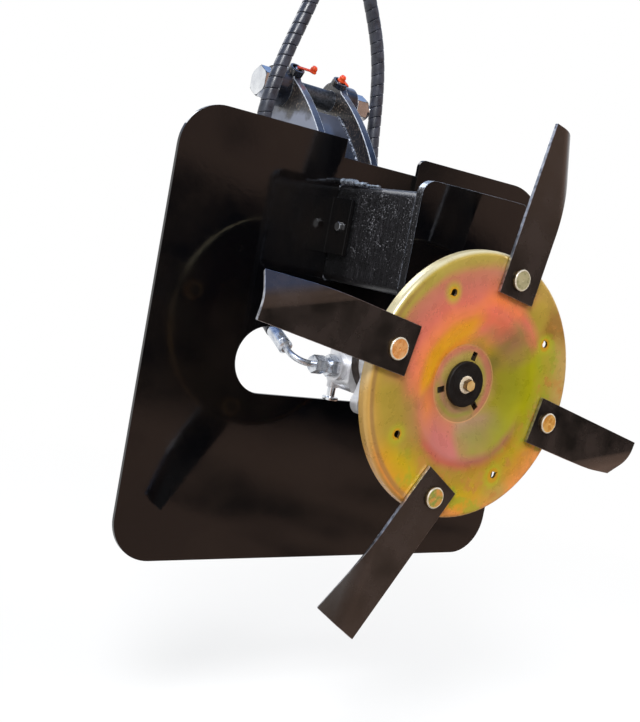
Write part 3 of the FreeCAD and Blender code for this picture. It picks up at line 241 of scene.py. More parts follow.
def hexagon(name, radius, length, chamfered=(True, True)):
    """A hexagonal bar with turned chamfers at its ends, along +Z from the origin."""
    start_object()
    bpy.ops.mesh.primitive_cylinder_add(vertices=6, radius=radius, depth=length, location=(0, 0, length / 2))
    bar = bpy.context.object
    bar.name = name
    settle(bar)
    trim = radius * 0.10
    drop = trim * math.tan(math.radians(30))
    reach = radius * 1.05
    low = radius - trim if chamfered[0] else reach
    high = radius - trim if chamfered[1] else reach
    fall = drop * reach / radius + drop / 2
    # Where an end has no chamfer two corners fall together, and one is left out.
    profile = [(0, 0), (low, 0), (reach, fall if chamfered[0] else 0),
               (reach, length - (fall if chamfered[1] else 0)), (high, length), (0, length)]
    barrel = lathe("barrel", [point for number, point in enumerate(profile)
                              if number == 0 or point != profile[number - 1]], 72)
    cut(bar, barrel, "INTERSECT")
    return bar


def block(size, place=(0, 0, 0)):
    """A rectangular block."""
    start_object()
    bpy.ops.mesh.primitive_cube_add(size=1)
    piece = bpy.context.object
    piece.scale = size
    piece.location = place
    settle(piece)
    return piece


def rod(name, radius, start, end, sides=32):
    """A straight tool for cutting round holes."""
    start_object()
    axis = end - start
    bpy.ops.mesh.primitive_cylinder_add(vertices=sides, radius=radius, depth=axis.length)
    piece = bpy.context.object
    piece.name = name
    settle(piece, standing((start + end) / 2, axis.normalized()))
    return piece


def second_finish_where(piece, test, number=1):
    """Give the second finish, or the third, to the faces whose direction and middle pass the test."""
    for face in piece.data.polygons:
        if test(face.normal, face.center):
            face.material_index = number


def finished(piece, name, body, finish, replaces):
    """Name a piece, give it its finish unless it has one, and let it ride on its body."""
    piece.name = name
    piece.data.name = name
    if finish:
        dressed(piece, finish)
    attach(piece, body)
    if replaces:
        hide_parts(*replaces)
    return piece


def middle_of(node):
    """The middle of a node's box."""
    low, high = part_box(node)
    return (low + high) / 2


def softened(node, body, width, finishes):
    """A CAD node's own shape with its edges broken, as sawing, paint and handling leave them."""
    name = node + "_soft"
    piece = in_scene(name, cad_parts[node].data.copy())
    dressed(piece, *finishes)
    edit(piece)
    bpy.ops.mesh.remove_doubles(threshold=0.002 * MM)
    bpy.ops.mesh.dissolve_limited(angle_limit=math.radians(0.5))
    leave_edit()
    bevelled(piece, width)
    smooth(piece)
    return finished(piece, name, body, None, [node])


# ---------------------------------------------------------------- camera

CAMERA_PLACE = Vector((-0.80945, -1.19710, -0.07220))
CAMERA_YAW = math.radians(36.99)
CAMERA_PITCH = math.radians(-5.85)
CAMERA_ROLL = math.radians(10.75)
CAMERA_LENS = 51.77


def make_camera():
    """The camera looks up the guard from the front left, rolled a little."""
    data = bpy.data.cameras.new("camera")
    data.lens = CAMERA_LENS
    camera = in_scene("camera", data)
    level = math.cos(CAMERA_PITCH)
    ahead = Vector((math.sin(CAMERA_YAW) * level, math.cos(CAMERA_YAW) * level, math.sin(CAMERA_PITCH)))
    camera.rotation_mode = "QUATERNION"
    camera.rotation_quaternion = ahead.to_track_quat("-Z", "Y") @ Quaternion(Z, CAMERA_ROLL)
    camera.location = CAMERA_PLACE
    bpy.context.scene.camera = camera


# ---------------------------------------------------------------- the disc's places

DISC_RADIUS = 150 * MM
DISC_SHEET = 3 * MM
RIM_DEPTH = 14 * MM
DISH_OUTER = 84 * MM
DISH_INNER = 44 * MM
DISH_DEPTH = 18 * MM
BOLT_CIRCLE = 128.4 * MM
BOLT_PHASE = math.radians(75.4)
DROP_CIRCLE = 113.8 * MM
KEY_REACH = 32 * MM
# The holes' radii.
BOLT_HOLE = 8.1 * MM
DROP_HOLE = 4 * MM

disc_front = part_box("disc")[0].y
axis = Vector((middle_of("hub").x, disc_front, middle_of("hub").z))


def on_disc(reach, angle):
    """A place on the disc's face."""
    return axis + Vector((reach * math.cos(angle), 0, reach * math.sin(angle)))


# ---------------------------------------------------------------- materials

def tone(code):
    """An sRGB hex colour as linear red, green, blue and alpha."""
    parts = [int(code[i:i + 2], 16) / 255 for i in (1, 3, 5)]
    return tuple(p / 12.92 if p <= 0.04045 else ((p + 0.055) / 1.055) ** 2.4 for p in parts) + (1,)


def give(tree, node, values):
    """Set a node up. A lower-case name is one of its properties, any other name or number one of its sockets. A
    socket takes a number, a hex colour, an output, or a node, which stands for its first live output."""
    for key, value in values.items():
        if key == "stops":
            ramp = node.color_ramp
            while len(ramp.elements) < len(value):
                ramp.elements.new(0.5)
            for element, (place, code) in zip(ramp.elements, value):
                element.position = place
                element.color = tone(code) if isinstance(code, str) else (code, code, code, 1)
        elif isinstance(key, str) and key.islower():
            setattr(node, key, value)
        elif isinstance(value, bpy.types.Node):
            tree.links.new(next(output for output in value.outputs if output.enabled), node.inputs[key])
        elif isinstance(value, bpy.types.NodeSocket):
            tree.links.new(value, node.inputs[key])
        else:
            node.inputs[key].default_value = tone(value) if isinstance(value, str) else value


def add(tree, kind, values=None):
    """Add a node with its settings and links."""
    node = tree.nodes.new(kind)
    give(tree, node, values or {})
    return node


def new_finish(name, **constants):
    """A material with a Principled shader, its constants set on the shader's own sockets."""
    material = bpy.data.materials.new(name)
    material.use_nodes = True
    tree = material.node_tree
    shader = tree.nodes["Principled BSDF"]
    for key, value in constants.items():
        shader.inputs[key.replace("_", " ").title().replace("Ior", "IOR")].default_value = value
    place = add(tree, "ShaderNodeTexCoord").outputs["Object"]
    return material, tree, shader, place


def finish_of(name, dark, light, grain, rough, dent, dent_size, **constants):
    """A plain finish: two close colours in patches, uneven gloss, and a fine relief. The patches' size, the relief's
    depth and its size are real ones, in millimetres."""
    material, tree, shader, place = new_finish(name, **constants)
    patches = add(tree, "ShaderNodeTexNoise", {"Scale": 1 / (grain * MM), "Detail": 4.0, "Vector": place})
    colour = add(tree, "ShaderNodeValToRGB", {"stops": [(0.35, dark), (0.65, light)], "Fac": patches})
    gloss = add(tree, "ShaderNodeValToRGB", {"stops": [(0.3, rough[0]), (0.7, rough[1])], "Fac": patches})
    relief = add(tree, "ShaderNodeTexNoise", {"Scale": 1 / (dent_size * MM), "Detail": 3.0, "Vector": place})
    bump = add(tree, "ShaderNodeBump", {"Strength": 1.0, "Distance": dent * MM, "Height": relief})
    give(tree, shader, {"Base Color": colour, "Roughness": gloss, "Normal": bump})
    return material


def gloss_black_paint():
    """Black powder coat, sprayed and baked: a deep wet gloss, a faint orange peel, and a little dust on it."""
    material, tree, shader, place = new_finish("gloss_black_powder_coat", specular_ior_level=0.5)
    specks = add(tree, "ShaderNodeTexNoise", {
        "Scale": 1 / (6 * MM), "Detail": 6.0, "Roughness": 0.7, "Vector": place
    })
    film = add(tree, "ShaderNodeTexNoise", {
        "Scale": 1 / (110 * MM), "Detail": 4.0, "Roughness": 0.6, "Vector": place
    })
    ground = add(tree, "ShaderNodeValToRGB", {"stops": [(0.4, "#060608"), (0.68, "#15110F")], "Fac": film})
    dust = add(tree, "ShaderNodeValToRGB", {"stops": [(0.71, 0.0), (0.79, 0.5)], "Fac": specks})
    colour = add(tree, "ShaderNodeMix", {"data_type": "RGBA", 0: dust, 6: ground, 7: "#5A544F"})
    haze = add(tree, "ShaderNodeValToRGB", {"stops": [(0.35, 0.04), (0.7, 0.13)], "Fac": film})
    peel = add(tree, "ShaderNodeTexNoise", {"Scale": 1 / (6 * MM), "Detail": 2.0, "Vector": place})
    bump = add(tree, "ShaderNodeBump", {"Strength": 1.0, "Distance": 0.02 * MM, "Height": peel})
    give(tree, shader, {"Base Color": colour, "Roughness": haze, "Normal": bump})
    return material


def rough_black_paint():
    """Black paint brushed over hot-rolled tube: a dull grain, pale specks in its pits, and scratches across it."""
    material, tree, shader, place = new_finish("brushed_black_paint", specular_ior_level=0.5)
    specks = add(tree, "ShaderNodeTexNoise", {
        "Scale": 1 / (1.5 * MM), "Detail": 2.0, "Roughness": 0.6, "Vector": place
    })
    crowd = add(tree, "ShaderNodeTexNoise", {"Scale": 1 / (16 * MM), "Detail": 3.0, "Vector": place})
    many = add(tree, "ShaderNodeMath", {"operation": "MULTIPLY_ADD", 0: crowd, 1: 0.3, 2: specks})
    drawn = add(tree, "ShaderNodeMapping", {
        "Rotation": (0, math.radians(62), 0), "Scale": (1 / (1.0 * MM), 1 / (1.0 * MM), 1 / (22 * MM)),
        "Vector": place
    })
    scratches = add(tree, "ShaderNodeTexNoise", {"Scale": 1.0, "Detail": 4.0, "Roughness": 0.7, "Vector": drawn})
    ground = add(tree, "ShaderNodeValToRGB", {
        "stops": [(0.33, "#080808"), (0.56, "#1E1D1F"), (0.72, "#4E4D51")], "Fac": scratches
    })
    across = add(tree, "ShaderNodeSeparateXYZ", {0: place})
    higher = add(tree, "ShaderNodeMath", {"operation": "MULTIPLY_ADD", 0: across.outputs["Z"], 1: 0.7, 2: many})
    dust = add(tree, "ShaderNodeValToRGB", {"stops": [(0.785, 0.0), (0.83, 1.0)], "Fac": higher})
    spotted = add(tree, "ShaderNodeMix", {"data_type": "RGBA", 0: dust, 6: ground, 7: "#A8A9AF"})
    # Out by the tab the arm is darkened: a painted shade cast by the tab.
    tab_shade = add(tree, "ShaderNodeMapRange", {
        "From Min": -220 * MM, "From Max": -214 * MM, "To Max": 0.75, "Value": across.outputs["Y"]
    })
    colour = add(tree, "ShaderNodeMix", {"data_type": "RGBA", 0: tab_shade, 6: spotted, 7: "#070708"})
    gloss = add(tree, "ShaderNodeValToRGB", {"stops": [(0.3, 0.24), (0.7, 0.45)], "Fac": specks})
    bump = add(tree, "ShaderNodeBump", {"Strength": 1.0, "Distance": 0.1 * MM, "Height": specks})
    give(tree, shader, {"Base Color": colour, "Roughness": gloss, "Normal": bump})
    return material


# The film's colours, from the hub out to the rim as shares of the disc's radius: first the green right side.
FILM_RIGHT = [(0.24, "#B88A58"), (0.33, "#988F22"), (0.45, "#99961A"), (0.58, "#AEA806"), (0.66, "#B2A728"),
              (0.78, "#B8A23C"), (0.88, "#C6A658"), (0.98, "#CFA766")]
# The other sides cover it one by one: foot, low right, left, upper right, top, upper left, and a brown streak. Each
# has its direction in degrees up from the right, and how far towards it the patch starts and is full.
FILM_SIDES = [
    (-116, 0.20, 0.80, [
        (0.24, "#A8843C"), (0.34, "#C2745A"), (0.46, "#C26E68"), (0.55, "#BC6E66"), (0.60, "#CC6C54"),
        (0.65, "#B89238"), (0.80, "#D2B018"), (0.90, "#E0A428"), (0.96, "#EA9A44")]),
    (-55, 0.74, 1.06, [
        (0.24, "#A89848"), (0.34, "#A68666"), (0.42, "#94884C"), (0.52, "#909030"), (0.58, "#B0705A"),
        (0.63, "#C08430"), (0.70, "#CAA618"), (0.85, "#E09834"), (0.95, "#F8A054")]),
    (176, 0.60, 0.92, [
        (0.24, "#C48A60"), (0.31, "#DC7C50"), (0.42, "#E8864C"), (0.54, "#D4805C"), (0.63, "#B88C4C"),
        (0.72, "#B2963C"), (0.86, "#B89C3C"), (0.92, "#C8A044"), (0.98, "#DCAE5C")]),
    (58, 0.70, 1.00, [
        (0.26, "#B88648"), (0.33, "#B09624"), (0.42, "#A67E4E"), (0.50, "#A87656"), (0.58, "#A8824E"),
        (0.66, "#EA7C66"), (0.74, "#B49838"), (0.86, "#C0A040"), (0.96, "#C4A050")]),
    (92, 0.74, 1.00, [
        (0.24, "#C89058"), (0.33, "#E8A24A"), (0.42, "#FC8A6C"), (0.50, "#FF8260"), (0.58, "#FA7C64"),
        (0.66, "#FF8A4A"), (0.75, "#DC7A58"), (0.85, "#CE8468"), (0.94, "#BEA050")]),
    # The upper left patch's bright orange is partly the film's colour and partly a painted highlight, the film's
    # glint towards the upper left.
    (136, 0.58, 0.97, [
        (0.24, "#D8966A"), (0.31, "#FFA02C"), (0.40, "#FFB610"), (0.50, "#FFAC20"), (0.58, "#FF9056"),
        (0.68, "#E67A64"), (0.80, "#D07A66"), (0.86, "#CC8062"), (0.91, "#B8A048"), (0.95, "#BAA64A")]),
    (33, 0.93, 1.08, [
        (0.52, "#86782C"), (0.60, "#C4724C"), (0.68, "#B88438"), (0.80, "#A0742E"), (0.92, "#A87C3C")]),
]
# The flat middle runs from pink to olive.
FILM_PINK = [(0.17, "#A6A046"), (0.215, "#B4A450"), (0.255, "#CC7E68"), (0.29, "#D07868")]
FILM_OLIVE = [(0.17, "#A88C5C"), (0.22, "#B08468"), (0.26, "#9E9A44"), (0.29, "#BA945E")]


def yellow_zinc_disc():
    """Yellow chromate over zinc. Its film thins and thickens round the dish, which turns it from gold to salmon,
    green and mauve, with a green halo round each drop hole. Its pale rim and the bright orange to the upper left are
    painted highlights, a painted shadow lies inside the rim low on the left, and its back and the walls of its holes
    are darkened with painted shade."""
    material, tree, shader, place = new_finish("yellow_zinc_disc", metallic=0.25, specular_ior_level=0.5)
    local = add(tree, "ShaderNodeVectorMath", {"operation": "SUBTRACT", 0: place, 1: tuple(axis)})
    parts = add(tree, "ShaderNodeSeparateXYZ", {0: local})
    flat = add(tree, "ShaderNodeCombineXYZ", {"X": parts.outputs["X"], "Z": parts.outputs["Z"]})
    reach = add(tree, "ShaderNodeVectorMath", {"operation": "LENGTH", 0: flat})
    toward = add(tree, "ShaderNodeVectorMath", {"operation": "NORMALIZE", 0: flat})
    drift = add(tree, "ShaderNodeTexNoise", {"Scale": 1 / (70 * MM), "Detail": 2.5, "Vector": place})
    fine = add(tree, "ShaderNodeTexNoise", {
        "Scale": 1 / (16 * MM), "Detail": 3.0, "Roughness": 0.5, "Vector": place
    })
    wander = add(tree, "ShaderNodeMath", {"operation": "MULTIPLY_ADD", 0: drift, 1: 24 * MM, 2: -12 * MM})
    near = add(tree, "ShaderNodeMath", {"operation": "ADD", 0: wander, 1: reach})
    share = add(tree, "ShaderNodeMath", {"operation": "DIVIDE", 0: near, 1: DISC_RADIUS})

    def side(angle, start, end):
        """How far a place lies towards one side of the disc, in degrees up from the right."""
        turn = math.radians(angle)
        facing = add(tree, "ShaderNodeVectorMath", {
            "operation": "DOT_PRODUCT", 0: toward, 1: (math.cos(turn), 0, math.sin(turn))
        })
        uneven = add(tree, "ShaderNodeMath", {"operation": "MULTIPLY_ADD", 0: drift, 1: 0.9, 2: -0.45})
        total = add(tree, "ShaderNodeMath", {"operation": "ADD", 0: facing, 1: uneven})
        return add(tree, "ShaderNodeMapRange", {
            "interpolation_type": "SMOOTHSTEP", "From Min": start, "From Max": end, "Value": total
        })

    # Each coat is how much of it lies at a place, and its colour there.
    coats = []
    for angle, start, end, stops in FILM_SIDES:
        coats.append((side(angle, start, end), add(tree, "ShaderNodeValToRGB", {"stops": stops, "Fac": share})))
    # Low on the flat the bath drained unevenly, and left greener and more orange blotches.
    drained = add(tree, "ShaderNodeTexNoise", {
        "Scale": 1 / (26 * MM), "Detail": 3.0, "Roughness": 0.6, "Vector": place
    })
    outer = add(tree, "ShaderNodeMapRange", {"From Min": 88 * MM, "From Max": 100 * MM, "Value": reach})
    outer = add(tree, "ShaderNodeMath", {"operation": "MULTIPLY", 0: outer, 1: side(-50, -0.2, 0.4)})
    for start, end, code in ((0.54, 0.66, "#A4AE2C"), (0.46, 0.34, "#CC8C44")):
        patch = add(tree, "ShaderNodeMapRange", {
            "interpolation_type": "SMOOTHSTEP", "From Min": start, "From Max": end, "To Max": 0.7, "Value": drained
        })
        coats.append((add(tree, "ShaderNodeMath", {"operation": "MULTIPLY", 0: patch, 1: outer}), code))
    # The flat middle has colours of its own, and is outlined where the dish's slope meets it.
    pink = add(tree, "ShaderNodeValToRGB", {"stops": FILM_PINK, "Fac": share})
    olive = add(tree, "ShaderNodeValToRGB", {"stops": FILM_OLIVE, "Fac": share})
    flat_middle = add(tree, "ShaderNodeMix", {"data_type": "RGBA", 0: side(242, 0.20, 0.70), 6: pink, 7: olive})
    middle = add(tree, "ShaderNodeMapRange", {
        "From Min": DISH_INNER + 0.5 * MM, "From Max": DISH_INNER - 2 * MM, "To Max": 0.75, "Value": reach
    })
    coats.append((middle, flat_middle))
    outline = add(tree, "ShaderNodeMath", {"operation": "COMPARE", 0: reach, 1: DISH_INNER + 0.3 * MM, 2: 0.7 * MM})
    outlined = add(tree, "ShaderNodeMath", {"operation": "MULTIPLY", 0: outline, 1: 0.6})
    coats.append((outlined, "#D8A070"))
    # Round each drop hole the film is green, and orange at the very brim.
    nearest = DISC_RADIUS
    for number in range(4):
        hole = on_disc(DROP_CIRCLE, BOLT_PHASE + TURN / 4 * number + TURN / 8)
        gap = add(tree, "ShaderNodeVectorMath", {"operation": "DISTANCE", 0: place, 1: tuple(hole)})
        nearest = add(tree, "ShaderNodeMath", {"operation": "MINIMUM", 0: nearest, 1: gap})
    uneven = add(tree, "ShaderNodeMath", {"operation": "MULTIPLY_ADD", 0: drift, 1: 12 * MM, 2: nearest})
    for start, end, most, code in ((23, 10, 0.85, "#BCBA2A"), (15, 11, 0.7, "#DC9020")):
        halo = add(tree, "ShaderNodeMapRange", {
            "interpolation_type": "SMOOTHSTEP", "From Min": start * MM, "From Max": end * MM, "To Max": most,
            "Value": uneven
        })
        coats.append((halo, code))
    # A painted shadow band lies inside the rim's rolled edge, low on the left, and the rolled edge itself is pale
    # with a painted highlight.
    exact = add(tree, "ShaderNodeMath", {"operation": "DIVIDE", 0: reach, 1: DISC_RADIUS})
    rim_shadow_band = add(tree, "ShaderNodeValToRGB", {
        "stops": [(0.925, 0.0), (0.945, 1.0), (0.963, 1.0), (0.975, 0.0)], "Fac": exact
    })
    rim_shadow_band = add(tree, "ShaderNodeMath", {"operation": "MULTIPLY", 0: rim_shadow_band, 1: side(200, 0.25, 0.70)})
    rim_shadow_band = add(tree, "ShaderNodeMath", {"operation": "MULTIPLY", 0: rim_shadow_band, 1: 0.65})
    coats.append((rim_shadow_band, "#9A7046"))
    rim = add(tree, "ShaderNodeMapRange", {
        "interpolation_type": "SMOOTHSTEP", "From Min": DISC_RADIUS - 4.5 * MM, "From Max": DISC_RADIUS - 0.5 * MM,
        "To Max": 0.7, "Value": reach
    })
    rim_highlight = add(tree, "ShaderNodeMix", {
        "data_type": "RGBA", 0: side(-105, -0.25, 0.45), 6: "#EEE6C6", 7: "#BE9650"
    })
    coats.append((rim, rim_highlight))
    # Behind the disc, and on the walls of its holes, the film is darkened with painted shade.
    turned = add(tree, "ShaderNodeSeparateXYZ", {0: add(tree, "ShaderNodeNewGeometry").outputs["Normal"]})
    behind = add(tree, "ShaderNodeMapRange", {
        "From Min": 0.1, "From Max": 0.5, "To Max": 0.85, "Value": turned.outputs["Y"]
    })
    sheared = add(tree, "ShaderNodeMapRange", {
        "From Min": -0.5, "From Max": -0.2, "To Max": 0.9, "Value": turned.outputs["Y"]
    })
    inside = add(tree, "ShaderNodeMath", {"operation": "LESS_THAN", 0: reach, 1: DISC_RADIUS - 10 * MM})
    walls = add(tree, "ShaderNodeMath", {"operation": "MULTIPLY", 0: sheared, 1: inside})
    dull = add(tree, "ShaderNodeMath", {"operation": "MAXIMUM", 0: behind, 1: walls})
    coats.append((dull, "#231F18"))
    colour = add(tree, "ShaderNodeValToRGB", {"stops": FILM_RIGHT, "Fac": share})
    for cover, coat in coats:
        colour = add(tree, "ShaderNodeMix", {"data_type": "RGBA", 0: cover, 6: colour, 7: coat})
    grain = add(tree, "ShaderNodeValToRGB", {"stops": [(0.3, "#E6E0D6"), (0.7, "#FFFFFF")], "Fac": fine})
    shaded = add(tree, "ShaderNodeMix", {
        "data_type": "RGBA", "blend_type": "MULTIPLY", 0: 0.4, 6: colour, 7: grain
    })
    gloss = add(tree, "ShaderNodeValToRGB", {"stops": [(0.3, 0.24), (0.7, 0.34)], "Fac": fine})
    give(tree, shader, {"Base Color": shaded, "Roughness": gloss})
    return material


def ear_enamel():
    """Enamel over flame-cut plate: wet blue-black, brown with dust by the pins; pale low outside and lighter on
    upward faces, both a painted sky reflection.
    """
    material, tree, shader, place = new_finish("blue_black_enamel", specular_ior_level=0.9)
    pools = add(tree, "ShaderNodeTexNoise", {"Scale": 1 / (30 * MM), "Detail": 4.0, "Vector": place})
    wet = add(tree, "ShaderNodeValToRGB", {"stops": [(0.38, "#0A0B0F"), (0.62, "#2C3240")], "Fac": pools})
    crumbs = add(tree, "ShaderNodeTexNoise", {
        "Scale": 1 / (2.6 * MM), "Detail": 3.0, "Roughness": 0.65, "Vector": place
    })
    dirt = add(tree, "ShaderNodeValToRGB", {
        "stops": [(0.46, "#0C0A09"), (0.57, "#2C231D"), (0.66, "#A09284")], "Fac": crumbs
    })
    where = add(tree, "ShaderNodeSeparateXYZ", {0: place})
    ragged = add(tree, "ShaderNodeMath", {"operation": "MULTIPLY_ADD", 0: pools, 1: 60 * MM, 2: where.outputs["Z"]})
    high = add(tree, "ShaderNodeMapRange", {
        "From Min": 138 * MM, "From Max": 146 * MM, "To Max": 0.85, "Value": ragged
    })
    far = add(tree, "ShaderNodeMapRange", {
        "From Min": 20 * MM, "From Max": 30 * MM, "To Max": 0.8, "Value": where.outputs["X"]
    })
    dusty = add(tree, "ShaderNodeMath", {"operation": "MAXIMUM", 0: high, 1: far})
    facing = add(tree, "ShaderNodeSeparateXYZ", {0: add(tree, "ShaderNodeNewGeometry").outputs["Normal"]})
    flat = add(tree, "ShaderNodeMapRange", {"From Min": -0.6, "From Max": -0.9, "Value": facing.outputs["X"]})
    kept = add(tree, "ShaderNodeMath", {"operation": "MULTIPLY", 0: dusty, 1: flat})
    first = add(tree, "ShaderNodeMix", {"data_type": "RGBA", 0: kept, 6: wet, 7: dirt})
    # Low on faces turned to the left, outside the left ear, a pale blue grey painted sky reflection is laid on.
    low = add(tree, "ShaderNodeMapRange", {
        "From Min": 140 * MM, "From Max": 130 * MM, "To Max": 0.9, "Value": ragged
    })
    outside = add(tree, "ShaderNodeMapRange", {
        "From Min": -40 * MM, "From Max": -44 * MM, "Value": where.outputs["X"]
    })
    pale = add(tree, "ShaderNodeMath", {"operation": "MULTIPLY", 0: low, 1: outside})
    film = add(tree, "ShaderNodeMath", {"operation": "MULTIPLY", 0: pale, 1: flat})
    second = add(tree, "ShaderNodeMix", {"data_type": "RGBA", 0: film, 6: first, 7: "#828AA0"})
    # Faces turned upwards are lightened with a painted sky reflection.
    sky_sheen_on_tops = add(tree, "ShaderNodeMapRange", {
        "From Min": 0.62, "From Max": 0.95, "To Max": 0.7, "Value": facing.outputs["Z"]
    })
    third = add(tree, "ShaderNodeMix", {"data_type": "RGBA", 0: sky_sheen_on_tops, 6: second, 7: "#7A8094"})
    gloss = add(tree, "ShaderNodeMapRange", {"To Min": 0.1, "To Max": 0.38, "Value": kept})
    bump = add(tree, "ShaderNodeBump", {"Strength": 1.0, "Distance": 0.12 * MM, "Height": crumbs})
    give(tree, shader, {"Base Color": third, "Roughness": gloss, "Normal": bump})
    return material


GLOSS_BLACK = gloss_black_paint()
ROUGH_BLACK = rough_black_paint()
DISC_ZINC = yellow_zinc_disc()
# Gloss enamel over flame-cut plate: it mirrors the sky, partly also as a painted sky reflection, so it reads as a
# grey blue.
EAR_PAINT = ear_enamel()
# On the flame-cut corners a near-white painted highlight stands on the bevels.
EAR_EDGE_HIGHLIGHT = finish_of("enamel_corner_painted_highlight", "#AAB2C0", "#F0F3F8", 4, (0.12, 0.3), 0.05, 1, metallic=0.2)
# Weld metal under enamel: glossy ripples with sooty hollows.
WELD = finish_of("enamelled_weld", "#1A1B20", "#9AA0AC", 3.2, (0.12, 0.3), 0.25, 1.6, metallic=0.35,
                 specular_ior_level=0.9)
# The middle of the pin is black with grease.
GREASED = finish_of("greased_steel", "#16171B", "#262A33", 8, (0.14, 0.35), 0.1, 4, metallic=0.3)
# Zinc plate on the corners and chamfers of a hexagon, darkened with painted shade.
SHADED_ZINC_CORNER = finish_of("zinc_corner_painted_shade", "#34373C", "#5A5E66", 3, (0.3, 0.45), 0.02, 2, metallic=0.6)
# Zinc-plated fittings, drawn and turned: softer than the bolts, with a fine grain.
FITTING_ZINC = finish_of("fitting_zinc", "#B4BAC4", "#E8EBEF", 9, (0.20, 0.34), 0.01, 3, metallic=0.85)
# Upward faces of the motor plate and the ragged weld: a pale blue grey painted sky reflection.
UPWARD_SKY_REFLECTION = finish_of("painted_sky_reflection_on_tops", "#6C7682", "#9CA8B8", 12, (0.14, 0.26), 0.03, 3, metallic=0.3,
                       specular_ior_level=0.8)
# Clear zinc plate: bright, faintly blue, with the soft mottle of the plating.
BRIGHT_ZINC = finish_of("clear_zinc_plate", "#D2D5DA", "#EEF0F2", 16, (0.14, 0.24), 0.01, 5, metallic=1.0)
# Yellow zinc on small hardware: gold, with the film's own clouds; each batch comes out another shade.
GOLD_ZINC = finish_of("yellow_zinc_gold", "#D9913C", "#F0BE6A", 8, (0.22, 0.35), 0.02, 2, metallic=0.35)
OLIVE_ZINC = finish_of("yellow_zinc_olive", "#A39C74", "#BDB28A", 8, (0.22, 0.35), 0.02, 2, metallic=0.35)
AMBER_ZINC = finish_of("yellow_zinc_amber", "#E4924A", "#EEB478", 8, (0.22, 0.35), 0.02, 2, metallic=0.35)
GREEN_ZINC = finish_of("yellow_zinc_green", "#8FA04A", "#E0A050", 6, (0.22, 0.35), 0.02, 2, metallic=0.35)
BRASSY_ZINC = finish_of("yellow_zinc_brassy", "#DCA862", "#F0CC90", 14, (0.16, 0.26), 0.02, 2, metallic=0.35)
# Darkened yellow zinc: painted shade on a hexagon's sides and a round head's side wall, and dark on the shanks.
SHADE_DARK_ZINC = finish_of("yellow_zinc_dark_painted_shade", "#4A3A22", "#8A6E44", 5, (0.3, 0.5), 0.02, 2, metallic=0.6)
# Pale yellow zinc on the bolts' rims and the hub bolt's flange: a painted highlight.
PALE_ZINC_HIGHLIGHT = finish_of("yellow_zinc_painted_highlight", "#DCCCB0", "#F0E8D4", 6, (0.2, 0.3), 0.02, 2, metallic=0.35)
# Spring steel, oil quenched and browned: satin, with soft stains.
BLADE_BROWN = finish_of("browned_spring_steel", "#16120F", "#28211E", 34, (0.18, 0.32), 0.04, 5,
                        specular_ior_level=1.0)
# The blades' sheared edges: bare steel under a thin film of oil.
SHEARED_EDGE = finish_of("sheared_bright_edge", "#808186", "#BCBDC1", 5, (0.25, 0.4), 0.05, 1, metallic=1.0)
# The arm's corners, where the paint is rubbed thin over bare steel, lightened further with a painted edge highlight.
RUBBED_AND_HIGHLIT_EDGE = finish_of("rubbed_paint_edge_painted_highlight", "#4C4D52", "#B4B7BF", 3, (0.25, 0.4), 0.05, 1, metallic=0.4)
# Aluminium paint over cast iron: a fine sparkle and a sandy skin.
SILVER_PAINT = finish_of("aluminium_paint", "#D2D3D7", "#F0F0F2", 18, (0.28, 0.45), 0.12, 2.5, metallic=0.55)
# Bare ground iron of the motor's gear ring, oiled.
DARK_IRON = finish_of("oiled_iron", "#3A332F", "#564D47", 14, (0.30, 0.45), 0.05, 2, metallic=0.7)
# Nylon hose wrap: moulded, faintly shiny, scuffed.
HOSE_WRAP = finish_of("nylon_hose_wrap", "#2A2C34", "#3E414C", 12, (0.24, 0.40), 0.08, 1.5)
# Soft polythene cap, coloured through.
CAP_ORANGE = finish_of("orange_polythene", "#E2431A", "#F25A26", 6, (0.30, 0.42), 0.04, 2)
# Phosphated steel, dull black.
BLACK_PHOSPHATE = finish_of("black_phosphate", "#0B0A0A", "#141312", 6, (0.45, 0.6), 0.05, 1, specular_ior_level=0.3)
BOLT_ZINC = {"first": OLIVE_ZINC, "second": AMBER_ZINC, "third": GREEN_ZINC, "fourth": GOLD_ZINC}


# ---------------------------------------------------------------- hoses

HOSE_RADIUS = 9.5 * MM
WRAP_PITCH = 15 * MM
WRAP_SIDES = 28
# Edges of the wound ribbon that lie closer than this are one edge.
SEAM = 0.02 * MM
# One turn of the wrap, as shares of its pitch and millimetres in from the outside.
WRAP_STEPS = [(0.00, 1.5), (0.035, 1.3), (0.05, 0.15), (0.10, 0.0), (0.5, 0.0), (0.93, 0.25), (0.97, 0.5),
              (0.985, 1.4)]

HOSE_ROUTES = {
    "left": [
        (-0.1010, -0.1521, -0.1745), (-0.1010, -0.1080, -0.1530), (-0.1020, -0.0770, -0.1140),
        (-0.1040, -0.0600, -0.0600), (-0.1070, -0.0540, -0.0030), (-0.1090, -0.0530, 0.0550),
        (-0.1065, -0.0550, 0.1120), (-0.0920, -0.0540, 0.1670), (-0.0755, -0.0550, 0.2200),
        (-0.0650, -0.0550, 0.2550),
    ],
    "right": [
        (0.1210, -0.1521, -0.1745), (0.1210, -0.1080, -0.1530), (0.1200, -0.0730, -0.1190),
        (0.1210, -0.0450, -0.0730), (0.1210, -0.0240, -0.0210), (0.1170, -0.0070, 0.0330),
        (0.1135, 0.0020, 0.0890), (0.1110, 0.0060, 0.1440), (0.1030, 0.0070, 0.1980),
        (0.0870, 0.0090, 0.2490), (0.0620, 0.0100, 0.2950),
    ],
}


def centreline(points):
    """The smooth line through a route: a spline with the route's points as its control points."""
    curve = bpy.data.curves.new("route", "CURVE")
    curve.dimensions = "3D"
    curve.resolution_u = 16
    spline = curve.splines.new("NURBS")
    spline.points.add(len(points) - 1)
    for knot, point in zip(spline.points, points):
        knot.co = (*point, 1)
    spline.order_u = 3
    spline.use_endpoint_u = True
    line = in_scene("route", curve)
    bpy.context.view_layer.update()
    mesh = bpy.data.meshes.new_from_object(line)
    places = [vertex.co.copy() for vertex in mesh.vertices]
    bpy.data.objects.remove(line)
    return places


